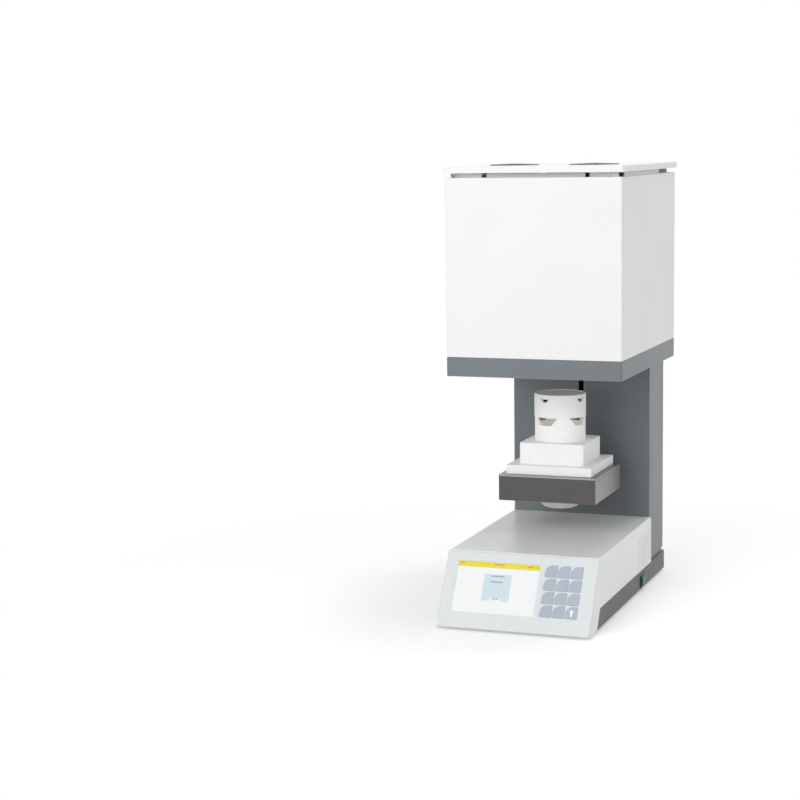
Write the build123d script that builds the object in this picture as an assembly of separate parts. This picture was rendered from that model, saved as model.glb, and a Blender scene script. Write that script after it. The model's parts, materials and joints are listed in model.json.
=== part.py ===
from build123d import *
import os
from math import cos, radians, sin, tan

# Bench-top sintering furnace with a lift: base, column, heated head and a table that lifts
# the stacked firing trays through the throat of the head. Millimetres, +Z up, front at -Y.
# The origin lies on the bench, midway between the foot of the panel and the column's back.

# Overall places
overall_depth = 627.0        # foot of the front panel to the back of the column
axis_reach = 157.5           # column face to the axis of table, throat and chamber
running_gap = 0.05           # radial clearance of rods, screw and shafts
loose_gap = 0.3              # clearance round keys, rocker and other free parts
seam = 0.7                   # visible joint between neighbouring sheets

# Base tray, cover and feet
foot_height = 6.0
foot_diameter = 26.0
foot_stud = 5.0
foot_inset = 29.0
base_width = 296.0
tray_height = 37.0
tray_sheet = 2.0
tray_flange = 10.0
tray_back_inset = 12.5       # rear wall of the tray ahead of the column's back
tray_corner = 4.0
cheek_depth = 57.0           # light side of the nose, ahead of the dark tray
cover_height = 93.0
cover_wall = 2.5
cover_edge = 5.0
louvre_count = 4
louvre_pitch = 26.0
louvre_width = 13.0
louvre_height = 57.0
louvre_rise = 2.5
louvre_wall = 1.2
louvre_top_drop = 25.0       # cover top to louvre top
louvre_back_gap = 15.0       # column face to the edge of the last louvre

# Front panel, display and keys, measured on the slope
panel_slope = 31.2           # from the vertical, in degrees
panel_thickness = 4.0
panel_edge = 2.5
window_width = 161.0
window_height = 101.0
window_x = -43.5
window_foot = 31.5           # foot of the panel to the foot of the window
window_corner = 1.0
window_lip = 1.2             # panel skin in front of the glass
glass_margin = 2.5
glass_thickness = 1.5
display_depth = 8.0
key_columns = 3
key_rows = 4
key_width = 22.6
key_height = 23.0
key_pitch_x = 24.6
key_pitch_s = 25.8
key_first_x = 59.2
key_top_s = 121.9
key_large_corner = 13.5
key_small_corner = 1.6
key_proud = 0.6
key_travel = 0.5
key_lip = 0.6
key_lip_thickness = 1.2
key_stem_diameter = 6.0
carrier_thickness = 2.0
carrier_margin = 4.0
post_diameter = 5.0
board_thickness = 1.6
board_gap = 3.0
board_drop = 14.0            # board hangs this much below the key carrier

# Power switch on the right side of the tray
switch_y = 102.0
switch_z = 21.0
bezel_width = 37.0
bezel_height = 27.0
bezel_proud = 2.0
bezel_rim = 4.4
switch_depth = 20.0
switch_wall = 1.0
rocker_tilt = 6.0            # either side of level, in degrees
rocker_thickness = 6.0
rocker_crown = 1.6
rocker_pin = 3.0
rocker_pin_seat = 0.6        # pin end beyond the well, on each side

# Mains inlet in the rear wall of the tray
inlet_x = -96.0
inlet_body_width = 28.0
inlet_body_height = 20.0
inlet_flange_width = 50.0
inlet_flange_height = 25.0
inlet_flange = 2.0
inlet_wall = 1.8
inlet_depth = 26.0
socket_depth = 20.0
inlet_pin_length = 13.0
inlet_pin_pitch = 7.0
inlet_pin_thickness = 2.0
inlet_pin_height = 4.0
inlet_pin_step = 2.0         # middle pin above, outer pins below the middle height

# Column
column_width = 288.0
column_depth = 135.0
column_height = 416.5
column_sheet = 2.0
column_flange = 22.0
rear_wrap = 22.0             # how far the rear cover wraps onto the sides
rear_radius = 14.0
rear_foot_gap = 8.0          # notch between rear cover and tray
cap_lap = 12.0               # how far the column's top runs in under the head
slot_width = 11.0
slot_margin = 11.0
slot_corner = 5.0
grille_rings = 4
grille_opening = 5.0         # radial width of each ring of the fan grille

# Lift
rod_diameter = 16.0
rod_pitch = 180.0
rod_setback = 56.0           # column face to rod axis
screw_diameter = 16.0
screw_setback = 95.0
journal_step = 1.0           # the screw's lower end is thinner by this, all round
plate_thickness = 12.0
lower_plate_z = 126.0
upper_plate_drop = 12.0      # column top to the top of the upper plate
plate_depth = 66.0
bridge_height = 42.0
bridge_wall = 9.0
bridge_deck = 14.0
bridge_depth = 34.0
coupling_diameter = 25.0
coupling_length = 24.0
coupling_lift = 2.0
motor_size = 57.0
motor_length = 68.0
motor_corner = 6.0
motor_boss = 38.0
shaft_diameter = 8.0
carriage_width = 224.0
carriage_thickness = 26.0
carriage_height = 60.0
nut_flange_diameter = 42.0
nut_flange = 8.0
nut_diameter = 28.0
nut_length = 34.0
bracket_height = 22.0
bracket_width = 56.0
arm_thickness = 9.0
arm_root_height = 37.0
arm_tip_height = 20.0
arm_tip_reach = 24.0         # arm end ahead of the chamber axis

# Table, plinth and door block
table_size = 196.0
table_height = 51.0
table_top_z = 256.5
table_sheet = 2.0
table_corner = 3.0
table_rim_depth = 3.5
table_rim_inset = 2.0
fascia_thickness = 1.5
fascia_margin = 3.0
hub_radius = 41.0
hub_depth = 25.0
hub_foot_radius = 24.0
hub_bulge_radius = 38.6      # the cap's rounded side passes through this radius
hub_bulge_depth = 18.0       # at this depth below the table
plinth_size = 172.0
plinth_height = 18.0
plinth_edge = 1.5
door_size = 129.5
door_height = 42.0
door_edge = 3.5
close_gap = 0.5              # left at the top of the stroke, at rim and plinth

# Firing trays
tray_stack_radius = 50.0
upper_tray_extra = 1.0
pot_wall = 4.5
pot_floor = 5.0
lower_pot_height = 47.5
upper_pot_height = 39.0
pot_lid_height = 6.7
pot_lid_dish = 1.5
pot_lid_rim = 4.0
pot_lid_spigot = 3.0
notch_turn = -24.0           # first notch, from straight ahead
big_notch_top = 31.0
big_notch_foot = 13.0
big_notch_depth = 15.5
small_notch_half = 11.5
small_notch_depth = 8.5

# Head shelf, casing and lid
head_width = 344.0
head_depth = 444.0
head_reach = 188.0           # chamber axis to the face of the head
head_height = 340.0
head_corner = 3.0
shelf_height = 36.5
shelf_sheet = 2.0
shelf_flange = 14.0
reveal = 0.8                 # dark line between shelf and casing
reveal_depth = 3.0
plinth_clearance = 4.0
collar_flange = 44.0
casing_sheet = 1.5
casing_flange = 27.0
casing_foot_flange = 12.0
lid_gap = 9.0
lid_overhang = 3.0
lid_thickness = 12.0
lid_sheet = 1.5
lid_corner = 3.0
spacer_size = 40.0
spacer_inset = 15.0
neck_height = 6.0
neck_wall = 2.0
neck_margin = 2.0
vent_radius = 48.0
vent_pitch = 160.0
vent_reach = 149.0           # face of the head to the vent centres
vent_rim = 5.0
vent_rim_height = 1.6
vent_dome = 1.4
vent_ring_width = 3.6
vent_ring_count = 6
vent_bar = 4.0

# Muffle, elements and thermocouple
chamber_size = 164.0
chamber_height = 180.0
muffle_wall = 54.0
roof_thickness = 45.0
door_clearance = 3.0
element_diameter = 6.0
terminal_diameter = 12.0
element_setback = 7.5        # chamber wall to element axis
element_leg_pitch = 30.0
element_pair_pitch = 78.0
element_floor_gap = 25.0
terminal_start = 10.0        # thick end begins this far below the roof
terminal_rise = 46.0
holder_diameter = 26.0
holder_height = 14.0
fill_gap = 0.2
strap_width = 16.0
strap_thickness = 5.0
strap_drop = 8.0
probe_diameter = 8.0
probe_setback = 14.0         # chamber wall to probe axis
probe_reach = 60.0           # below the roof
probe_head = 30.0
probe_head_height = 24.0
probe_rise = 22.0

# Fan behind the rear cover
fan_size = 80.0
fan_depth = 25.0
fan_x = 80.0
fan_drop = 74.0              # column top to fan axis
fan_bore = 38.0
fan_hub = 17.0
fan_tip_gap = 1.2
fan_blades = 7
fan_blade_pitch = 38.0
fan_blade_thickness = 1.6
fan_chord = 16.0             # blade width along its slant
fan_shaft = 4.0
fan_strut = 5.0
fan_plate = 3.0
fan_screw_hole = 4.3
fan_screw_inset = 4.25

# Power parts inside the base
core_width = 120.0
core_depth = 100.0
core_height = 84.0
core_leg = 20.0
coil_wall = 17.0
coil_clearance = 1.0
supply_width = 98.0
supply_depth = 150.0
supply_height = 40.0
supply_slots = 9
supply_y = -40.0
supply_x = -80.0
core_x = 55.0
core_y = 20.0

# Worked-out places
back_y = overall_depth / 2
front_y = -overall_depth / 2
column_y = back_y - column_depth
axis_y = column_y - axis_reach
tray_top = foot_height + tray_height
cover_top = tray_top + cover_height
column_top = tray_top + column_height
slope = radians(panel_slope)
panel_length = (cover_top - foot_height) / cos(slope)
panel_top_y = front_y + (cover_top - foot_height) * tan(slope)
tray_foot_y = front_y + cheek_depth
tray_front_top_y = tray_foot_y + tray_height * tan(slope)
tray_back = back_y - tray_back_inset
table_foot = table_top_z - table_height
plinth_top = table_top_z + plinth_height
door_top = plinth_top + door_height
travel = column_top - close_gap - table_top_z
muffle_z = plinth_top + travel + close_gap
chamber_z = muffle_z + door_height
roof_z = chamber_z + chamber_height
roof_top = roof_z + roof_thickness
muffle_half = chamber_size / 2 + muffle_wall
shelf_top = column_top + shelf_height
head_z = shelf_top + reveal
head_top = head_z + head_height
lid_z = head_top + lid_gap
lid_top = lid_z + lid_thickness
head_front = axis_y - head_reach
head_back = head_front + head_depth
rod_y = column_y + rod_setback
screw_y = column_y + screw_setback
lower_plate_top = lower_plate_z + plate_thickness
upper_plate_top = column_top - upper_plate_drop
upper_plate_z = upper_plate_top - plate_thickness
plate_back = rod_y - carriage_thickness / 2 + plate_depth
rear_inner = back_y - column_sheet

panel_plane = Plane(
    origin=(0, front_y, foot_height),
    x_dir=(1, 0, 0),
    z_dir=(0, -cos(slope), sin(slope)),
)


def block(x, y, z):
    """A box from its limits along each axis."""
    size = Box(x[1] - x[0], y[1] - y[0], z[1] - z[0])
    return Pos((x[0] + x[1]) / 2, (y[0] + y[1]) / 2, (z[0] + z[1]) / 2) * size


def square(half, middle_y, z):
    """A square slab about the line x = 0, y = middle_y."""
    return block((-half, half), (middle_y - half, middle_y + half), z)


def rod(x, y, z, radius):
    """An upright cylinder between two heights."""
    return Pos(x, y, (z[0] + z[1]) / 2) * Cylinder(radius, z[1] - z[0])


def on_panel(x, s, h):
    """A place on the panel: x across, s up the slope, h out of its face."""
    return panel_plane.location * Pos(x, s, h)


def side_profile(points, half_width):
    """Extrudes an outline of (y, z) points to both sides of the middle plane."""
    face = make_face(Plane.YZ * Polyline(*points, close=True))
    return extrude(face, amount=half_width, both=True)


def upright_edges(shape):
    return shape.edges().filter_by(Axis.Z)


def write(node, shape):
    export_step(shape, f"parts/{node}.step")


# Base


def switch_body(clearance):
    """The part of the switch that passes through the wall of the tray."""
    half_y = bezel_width / 2 - bezel_rim + switch_wall + clearance
    half_z = bezel_height / 2 - bezel_rim + switch_wall + clearance
    wall_x = base_width / 2
    return block(
        (wall_x - switch_depth, wall_x),
        (switch_y - half_y, switch_y + half_y),
        (switch_z - half_z, switch_z + half_z),
    )


def inlet_body(clearance):
    """The part of the inlet that passes through the rear wall of the tray."""
    half_x = inlet_body_width / 2 + clearance
    half_z = inlet_body_height / 2 + clearance
    middle_z = foot_height + tray_height / 2
    return block(
        (inlet_x - half_x, inlet_x + half_x),
        (tray_back - inlet_depth, tray_back),
        (middle_z - half_z, middle_z + half_z),
    )


def foot_places():
    x = base_width / 2 - foot_inset
    return [
        (side * x, y)
        for side in (-1, 1)
        for y in (tray_front_top_y + foot_inset, tray_back - foot_inset)
    ]


def base_tray():
    outline = [
        (tray_foot_y, foot_height),
        (tray_front_top_y, tray_top),
        (tray_back, tray_top),
        (tray_back, foot_height),
    ]
    tray = side_profile(outline, base_width / 2)
    back_edges = upright_edges(tray).group_by(Axis.Y)[-1]
    tray = fillet(back_edges, tray_corner)
    wall = tray_sheet / cos(slope)
    hollow = [
        (tray_foot_y + wall + tray_sheet * tan(slope), foot_height + tray_sheet),
        (tray_front_top_y + wall - tray_sheet * tan(slope), tray_top - tray_sheet),
        (tray_back - tray_sheet, tray_top - tray_sheet),
        (tray_back - tray_sheet, foot_height + tray_sheet),
    ]
    tray -= side_profile(hollow, base_width / 2 - tray_sheet)
    mouth_x = base_width / 2 - tray_flange
    mouth_y = (tray_front_top_y + tray_flange, tray_back - tray_flange)
    tray -= block((-mouth_x, mouth_x), mouth_y, (tray_top - 2 * tray_sheet, tray_top + 1))
    for x, y in foot_places():
        floor = (foot_height - 1, foot_height + tray_sheet + 1)
        tray -= rod(x, y, floor, foot_stud / 2 + fill_gap)
    tray -= switch_body(fill_gap)
    return tray - inlet_body(fill_gap)


def feet():
    pads = []
    for x, y in foot_places():
        pad = rod(x, y, (0, foot_height), foot_diameter / 2)
        pad = chamfer(pad.edges().group_by(Axis.Z)[0], foot_height / 4)
        stud_top = foot_height + 3 * tray_sheet
        pads.append(pad + rod(x, y, (foot_height, stud_top), foot_stud / 2))
    return Compound(pads)


def louvre(side, y):
    """A pressed louvre: the bulge outside the wall, and what is cut for it."""
    radius = (louvre_width**2 / 4 + louvre_rise**2) / (2 * louvre_rise)
    axis_x = side * (base_width / 2 + louvre_rise - radius)
    top = cover_top - louvre_top_drop
    z = (top - louvre_height, top)
    wall_x = side * base_width / 2
    outside = block(
        sorted((wall_x - side * cover_wall / 2, wall_x + side * 2 * louvre_rise)),
        (y - louvre_width, y + louvre_width),
        z,
    )
    bulge = rod(axis_x, y, z, radius) & outside
    inner_z = (z[0] + louvre_wall, z[1] - louvre_wall)
    hollow = rod(axis_x, y, inner_z, radius - louvre_wall)
    mouth = block(
        sorted((wall_x, wall_x + side * 2 * louvre_rise)),
        (y + louvre_width / 6, y + louvre_width),
        inner_z,
    )
    return bulge, hollow + mouth


def base_cover():
    half = base_width / 2
    outline = [
        (front_y, foot_height),
        (panel_top_y, cover_top),
        (column_y, cover_top),
        (column_y, tray_top),
        (tray_front_top_y, tray_top),
        (tray_foot_y, foot_height),
    ]
    cover = side_profile(outline, half)
    top_edges = cover.edges().filter_by(Axis.Y).group_by(Axis.Z)[-1]
    cover = fillet(top_edges, cover_edge)
    hollow = block(
        (-half + cover_wall, half - cover_wall),
        (front_y - 1, column_y + 1),
        (foot_height + cover_wall, cover_top - cover_wall),
    )
    hollow_edges = hollow.edges().filter_by(Axis.Y).group_by(Axis.Z)[-1]
    hollow = fillet(hollow_edges, cover_edge - cover_wall)
    hollow += block(
        (-half + cover_wall, half - cover_wall),
        (tray_front_top_y, column_y + 1),
        (0, cover_top / 2),
    )
    cover -= hollow
    slab = Box(2 * base_width, 3 * panel_length, panel_length)
    cover -= on_panel(0, panel_length / 2, panel_length / 2 - panel_thickness) * slab
    last_y = column_y - louvre_back_gap - louvre_width / 2
    for side in (-1, 1):
        for i in range(louvre_count):
            bulge, cut = louvre(side, last_y - i * louvre_pitch)
            cover = cover + bulge - cut
    return cover


# Panel, display and keys


def key_place(row, column):
    return key_first_x + column * key_pitch_x, key_top_s - row * key_pitch_s


def key_outline(growth, thickness):
    """A key's plan with its large corner at the upper left, grown on all sides."""
    cap = Box(key_width + 2 * growth, key_height + 2 * growth, thickness)
    corners = upright_edges(cap).sort_by(lambda e: e.center().X - e.center().Y)
    cap = fillet(corners[0], key_large_corner + growth)
    corners = upright_edges(cap).sort_by(lambda e: e.center().X - e.center().Y)
    return fillet(corners[2:], key_small_corner + growth)


def window_middle():
    return window_x, window_foot + window_height / 2


def front_panel():
    plate = Box(base_width, panel_length, panel_thickness)
    front_edges = plate.faces().sort_by(Axis.Z)[-1].edges()
    plate = fillet(front_edges, panel_edge)
    plate = on_panel(0, panel_length / 2, -panel_thickness / 2) * plate
    x, s = window_middle()
    window = Box(window_width, window_height, 3 * panel_thickness)
    window = fillet(upright_edges(window), window_corner)
    plate -= on_panel(x, s, 0) * window
    rebate_width = window_width + 2 * (glass_margin + fill_gap)
    rebate_height = window_height + 2 * (glass_margin + fill_gap)
    rebate = Box(rebate_width, rebate_height, panel_thickness)
    plate -= on_panel(x, s, -window_lip - panel_thickness / 2) * rebate
    for row in range(key_rows):
        for column in range(key_columns):
            x, s = key_place(row, column)
            plate -= on_panel(x, s, 0) * key_outline(loose_gap, 3 * panel_thickness)
    return plate


def display_glass():
    x, s = window_middle()
    width = window_width + 2 * glass_margin
    height = window_height + 2 * glass_margin
    pane = Box(width, height, glass_thickness)
    return on_panel(x, s, -window_lip - glass_thickness / 2) * pane


def display_module():
    x, s = window_middle()
    width = window_width + 2 * glass_margin
    height = window_height + 2 * glass_margin
    front = window_lip + glass_thickness
    body = on_panel(x, s, -front - display_depth / 2) * Box(width, height, display_depth)
    frame_width = width + 2 * glass_margin
    frame_height = height + 2 * glass_margin
    frame_depth = front + display_depth - panel_thickness
    frame = Box(frame_width, frame_height, frame_depth)
    return body + on_panel(x, s, -panel_thickness - frame_depth / 2) * frame


key_back = panel_thickness + running_gap + key_lip_thickness
carrier_front = key_back + key_travel + 2 * loose_gap
carrier_back = carrier_front + carrier_thickness
board_front = carrier_back + board_gap


def key(row, column):
    x, s = key_place(row, column)
    lip_front = -panel_thickness - running_gap
    cap_height = key_proud - lip_front
    cap = on_panel(x, s, lip_front + cap_height / 2) * key_outline(0, cap_height)
    lip = key_outline(key_lip, key_lip_thickness)
    lip = on_panel(x, s, lip_front - key_lip_thickness / 2) * lip
    stem_length = carrier_back - key_back
    stem = Cylinder(key_stem_diameter / 2, stem_length)
    return cap + lip + on_panel(x, s, -key_back - stem_length / 2) * stem


def keypad_middle():
    x0, s0 = key_place(0, 0)
    x1, s1 = key_place(key_rows - 1, key_columns - 1)
    return (x0 + x1) / 2, (s0 + s1) / 2


def keypad_half():
    half_x = (key_columns * key_pitch_x) / 2 + carrier_margin
    half_s = (key_rows * key_pitch_s) / 2 + carrier_margin
    return half_x, half_s


def post_places():
    x, s = keypad_middle()
    half_x, half_s = keypad_half()
    inset = post_diameter / 2
    return [
        (x + i * (half_x - inset), s + j * (half_s - inset))
        for i in (-1, 1)
        for j in (-1, 1)
    ]


def key_carrier():
    x, s = keypad_middle()
    half_x, half_s = keypad_half()
    plate = Box(2 * half_x, 2 * half_s, carrier_thickness)
    carrier = on_panel(x, s, -carrier_front - carrier_thickness / 2) * plate
    front_post = carrier_front - panel_thickness
    for px, ps in post_places():
        post = Cylinder(post_diameter / 2, front_post)
        carrier += on_panel(px, ps, -panel_thickness - front_post / 2) * post
        foot = Cylinder(post_diameter / 2, board_gap)
        carrier += on_panel(px, ps, -carrier_back - board_gap / 2) * foot
    for row in range(key_rows):
        for column in range(key_columns):
            kx, ks = key_place(row, column)
            bore = Cylinder(key_stem_diameter / 2 + running_gap, 4 * carrier_thickness)
            carrier -= on_panel(kx, ks, -carrier_front) * bore
    return carrier


def control_board():
    x, s = keypad_middle()
    half_x, half_s = keypad_half()
    board = Box(2 * half_x, 2 * half_s + board_drop, board_thickness)
    middle = -board_front - board_thickness / 2
    board = on_panel(x, s - board_drop / 2, middle) * board
    chip_height = 3 * board_thickness
    chip_h = -board_front - board_thickness - chip_height / 2
    for step in (-1, 0, 1):
        chip = Box(half_x / 2, half_s / 4, chip_height)
        board += on_panel(x, s + step * half_s / 2, chip_h) * chip
    return board


# Power parts in the base


def transformer():
    return Compound([transformer_core(), transformer_coils()])


def transformer_core():
    floor = foot_height + tray_sheet
    x = (core_x - core_width / 2, core_x + core_width / 2)
    y = (core_y - core_depth / 2, core_y + core_depth / 2)
    z = (floor, floor + core_height)
    core = block(x, y, z)
    bay = (core_width - 3 * core_leg) / 2
    bay_z = (z[0] + core_leg, z[1] - core_leg)
    for side in (-1, 1):
        near = core_x + side * core_leg / 2
        far = near + side * bay
        core -= block(sorted((near, far)), (y[0] - 1, y[1] + 1), bay_z)
    return core


def transformer_coils():
    floor = foot_height + tray_sheet + core_leg + coil_clearance / 2
    height = core_height - 2 * core_leg - coil_clearance
    z = (floor, floor + height)
    half_x = core_leg / 2 + fill_gap
    half_y = core_depth / 2 + fill_gap
    outer = block(
        (core_x - half_x - coil_wall, core_x + half_x + coil_wall),
        (core_y - half_y - coil_wall, core_y + half_y + coil_wall),
        z,
    )
    outer = fillet(upright_edges(outer), coil_wall / 2)
    inner = block(
        (core_x - half_x, core_x + half_x),
        (core_y - half_y, core_y + half_y),
        (z[0] - 1, z[1] + 1),
    )
    return outer - inner


def power_supply():
    floor = foot_height + tray_sheet
    x = (supply_x - supply_width / 2, supply_x + supply_width / 2)
    y = (supply_y - supply_depth / 2, supply_y + supply_depth / 2)
    case = block(x, y, (floor, floor + supply_height))
    pitch = supply_depth / (supply_slots + 1)
    for i in range(supply_slots):
        slot_y = y[0] + (i + 1) * pitch
        case -= block(
            (x[0] + pitch, x[1] - pitch),
            (slot_y - pitch / 6, slot_y + pitch / 6),
            (floor + supply_height - pitch / 3, floor + supply_height + 1),
        )
    return case


# Switch and inlet

rocker_half_y = bezel_width / 2 - bezel_rim
rocker_half_z = bezel_height / 2 - bezel_rim
pivot_x = base_width / 2 + bezel_proud / 4


def switch_bezel():
    wall_x = base_width / 2
    rim = block(
        (wall_x, wall_x + bezel_proud),
        (switch_y - bezel_width / 2, switch_y + bezel_width / 2),
        (switch_z - bezel_height / 2, switch_z + bezel_height / 2),
    )
    rim = chamfer(rim.faces().sort_by(Axis.X)[-1].edges(), bezel_proud / 2)
    body = rim + switch_body(0)
    well_depth = rocker_thickness + rocker_half_y * sin(radians(rocker_tilt))
    well = block(
        (pivot_x - well_depth, wall_x + 2 * bezel_proud),
        (switch_y - rocker_half_y, switch_y + rocker_half_y),
        (switch_z - rocker_half_z, switch_z + rocker_half_z),
    )
    pin_hole = Pos(pivot_x, switch_y, switch_z) * Cylinder(
        rocker_pin / 2 + running_gap, 2 * (rocker_half_z + rocker_pin_seat + running_gap)
    )
    return body - well - pin_hole


def switch_rocker():
    half_y = rocker_half_y - 2 * loose_gap
    outline = [
        (rocker_crown / 4, -half_y),
        (rocker_crown, 0),
        (rocker_crown / 4, half_y),
        (-rocker_thickness / 3, half_y),
        (-rocker_thickness / 2, 0),
        (-rocker_thickness / 3, -half_y),
    ]
    lift = rocker_thickness / 2
    points = [(x + lift, y) for x, y in outline]
    face = make_face(Polyline(*points, close=True))
    half_z = rocker_half_z - loose_gap
    rocker = extrude(face, amount=half_z, both=True)
    rocker += Cylinder(rocker_pin, 2 * half_z)
    rocker += Cylinder(rocker_pin / 2, 2 * (rocker_half_z + rocker_pin_seat))
    return Pos(pivot_x, switch_y, switch_z) * Rot(0, 0, rocker_tilt) * rocker


def mains_inlet():
    middle_z = foot_height + tray_height / 2
    flange = Pos(inlet_x, tray_back + inlet_flange / 2, middle_z) * Box(
        inlet_flange_width, inlet_flange, inlet_flange_height
    )
    flange = fillet(flange.edges().filter_by(Axis.Y), inlet_flange_height / 5)
    inlet = flange + inlet_body(0)
    face_y = tray_back + inlet_flange
    cavity = block(
        (inlet_x - inlet_body_width / 2 + inlet_wall, inlet_x + inlet_body_width / 2 - inlet_wall),
        (face_y - socket_depth, face_y + 1),
        (
            middle_z - inlet_body_height / 2 + inlet_wall,
            middle_z + inlet_body_height / 2 - inlet_wall,
        ),
    )
    lower = cavity.edges().filter_by(Axis.Y).group_by(Axis.Z)[0]
    cavity = chamfer(lower, inlet_body_height / 6)
    inlet -= cavity
    pin_y = (face_y - socket_depth - 1, face_y - socket_depth + inlet_pin_length)
    for step in (-1, 0, 1):
        x = inlet_x + step * inlet_pin_pitch
        z = middle_z + (inlet_pin_step if step == 0 else -inlet_pin_step)
        pin_x = (x - inlet_pin_thickness / 2, x + inlet_pin_thickness / 2)
        inlet += block(pin_x, pin_y, (z - inlet_pin_height / 2, z + inlet_pin_height / 2))
    hole_x = (inlet_flange_width + inlet_body_width) / 4
    for side in (-1, 1):
        hole = Pos(inlet_x + side * hole_x, tray_back, middle_z) * Rot(90, 0, 0)
        inlet -= hole * Cylinder(inlet_wall, 6 * inlet_flange)
    return inlet


# Column


def column_sides():
    sides = []
    flange_y = (column_y + column_sheet + fill_gap, column_y + 2 * column_sheet + fill_gap)
    for side in (-1, 1):
        outer_x = side * column_width / 2
        inner_x = outer_x - side * column_sheet
        wall_y = (column_y, back_y - rear_wrap - seam)
        wall = block(sorted((outer_x, inner_x)), wall_y, (tray_top, column_top))
        flange_x = sorted((inner_x, inner_x - side * column_flange))
        flange_z = (tray_top, column_top - column_sheet)
        wall += block(flange_x, flange_y, flange_z)
        rear_y = (wall_y[1] - column_sheet, wall_y[1])
        wall += block(flange_x, rear_y, flange_z)
        sides.append(wall)
    return Compound(sides)


arm_foot = table_foot - arm_root_height
slot_foot = arm_foot - slot_margin
slot_top = table_foot + travel + slot_margin


def column_front():
    half = column_width / 2 - column_sheet - seam
    front_z = (tray_top, column_top)
    plate = block((-half, half), (column_y, column_y + column_sheet), front_z)
    slot = block(
        (-slot_width / 2, slot_width / 2),
        (column_y - 1, column_y + column_sheet + 1),
        (slot_foot, slot_top),
    )
    return plate - fillet(slot.edges().filter_by(Axis.Y), slot_corner)


def fan_middle():
    return fan_x, column_top - fan_drop


def column_rear_cover():
    half = column_width / 2
    z = (tray_top + rear_foot_gap, column_top)
    wrap_y = back_y - rear_wrap
    shell = block((-half, half), (wrap_y, back_y), z)
    shell = fillet(upright_edges(shell).group_by(Axis.Y)[-1], rear_radius)
    hollow = block(
        (-half + column_sheet, half - column_sheet),
        (wrap_y - 1, rear_inner),
        (z[0] - 1, z[1] + 1),
    )
    hollow = fillet(upright_edges(hollow).group_by(Axis.Y)[-1], rear_radius - column_sheet)
    shell -= hollow
    inner_x = half - column_sheet - fill_gap
    top = (column_top - column_sheet, column_top)
    shell += block((-inner_x, inner_x), (head_back - cap_lap, rear_inner + fill_gap), top)
    x, fan_z = fan_middle()
    pitch = grille_opening + fan_plate
    grille = Sketch()
    for i in range(grille_rings):
        outer = fan_bore - fan_plate / 2 - i * pitch
        grille += Circle(outer) - Circle(outer - grille_opening)
    grille -= Rectangle(fan_plate, 3 * fan_bore)
    grille -= Rectangle(3 * fan_bore, fan_plate)
    cut = extrude(grille, amount=2 * column_sheet, both=True)
    return shell - Pos(x, back_y, fan_z) * Rot(90, 0, 0) * cut


# Lift mechanism


def rod_places():
    return [(-rod_pitch / 2, rod_y), (rod_pitch / 2, rod_y)]


def bearing_plate(z):
    """A cross plate between the column's sides, bored for rods and screw."""
    half = column_width / 2 - column_sheet
    y = (plate_back - plate_depth, plate_back)
    plate = block((-half, half), y, z)
    for x, y in rod_places():
        plate -= rod(x, y, (z[0] - 1, z[1] + 1), rod_diameter / 2)
    return plate


def lower_bearing_plate():
    plate = bearing_plate((lower_plate_z, lower_plate_top))
    top = lower_plate_top + bridge_height
    half = coupling_diameter / 2 + bridge_wall + 2
    y = (screw_y - bridge_depth / 2, screw_y + bridge_depth / 2)
    bridge = block((-half, half), y, (lower_plate_top, top))
    inner = half - bridge_wall
    bridge -= block(
        (-inner, inner), (y[0] - 1, y[1] + 1), (lower_plate_top - 1, top - bridge_deck)
    )
    plate += bridge
    deck = (top - bridge_deck - 1, top + 1)
    plate -= rod(0, screw_y, deck, screw_diameter / 2 + running_gap)
    lower = (lower_plate_z - 1, lower_plate_top + 1)
    return plate - rod(0, screw_y, lower, motor_boss / 2 + fill_gap)


def upper_bearing_plate():
    plate = bearing_plate((upper_plate_z, upper_plate_top))
    through = (upper_plate_z - 1, upper_plate_top + 1)
    return plate - rod(0, screw_y, through, screw_diameter / 2 + running_gap)


def guide_rods():
    z = (lower_plate_z, upper_plate_top)
    return Compound([rod(x, y, z, rod_diameter / 2) for x, y in rod_places()])


def lift_motor():
    half = motor_size / 2
    z = (lower_plate_z - motor_length, lower_plate_z)
    body = square(half, screw_y, z)
    body = fillet(upright_edges(body), motor_corner)
    boss_top = lower_plate_z + plate_thickness / 3
    body += rod(0, screw_y, (lower_plate_z, boss_top), motor_boss / 2)
    bore = (z[0] + motor_length / 3, boss_top + 1)
    return body - rod(0, screw_y, bore, shaft_diameter / 2 + running_gap)


coupling_z = lower_plate_top + coupling_lift


def screw_coupling():
    z = (coupling_z, coupling_z + coupling_length)
    body = rod(0, screw_y, z, coupling_diameter / 2)
    body = chamfer(body.edges().filter_by(GeomType.CIRCLE), coupling_diameter / 20)
    middle = (z[0] + z[1]) / 2
    groove = (middle - coupling_length / 16, middle + coupling_length / 16)
    waist = rod(0, screw_y, groove, coupling_diameter)
    body -= waist - rod(0, screw_y, groove, coupling_diameter / 3)
    body -= rod(0, screw_y, (middle, z[1] + 1), screw_diameter / 2 - journal_step)
    shaft_foot = lower_plate_z - motor_length / 2
    return body + rod(0, screw_y, (shaft_foot, z[0] + 1), shaft_diameter / 2)


def lead_screw():
    z = coupling_z + coupling_length
    thread = rod(0, screw_y, (z, upper_plate_top), screw_diameter / 2)
    journal_foot = coupling_z + coupling_length / 2 + 1
    return thread + rod(0, screw_y, (journal_foot, z), screw_diameter / 2 - journal_step)


carriage_foot = arm_foot - slot_margin / 2
bracket_z = carriage_foot + carriage_height / 2


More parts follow.
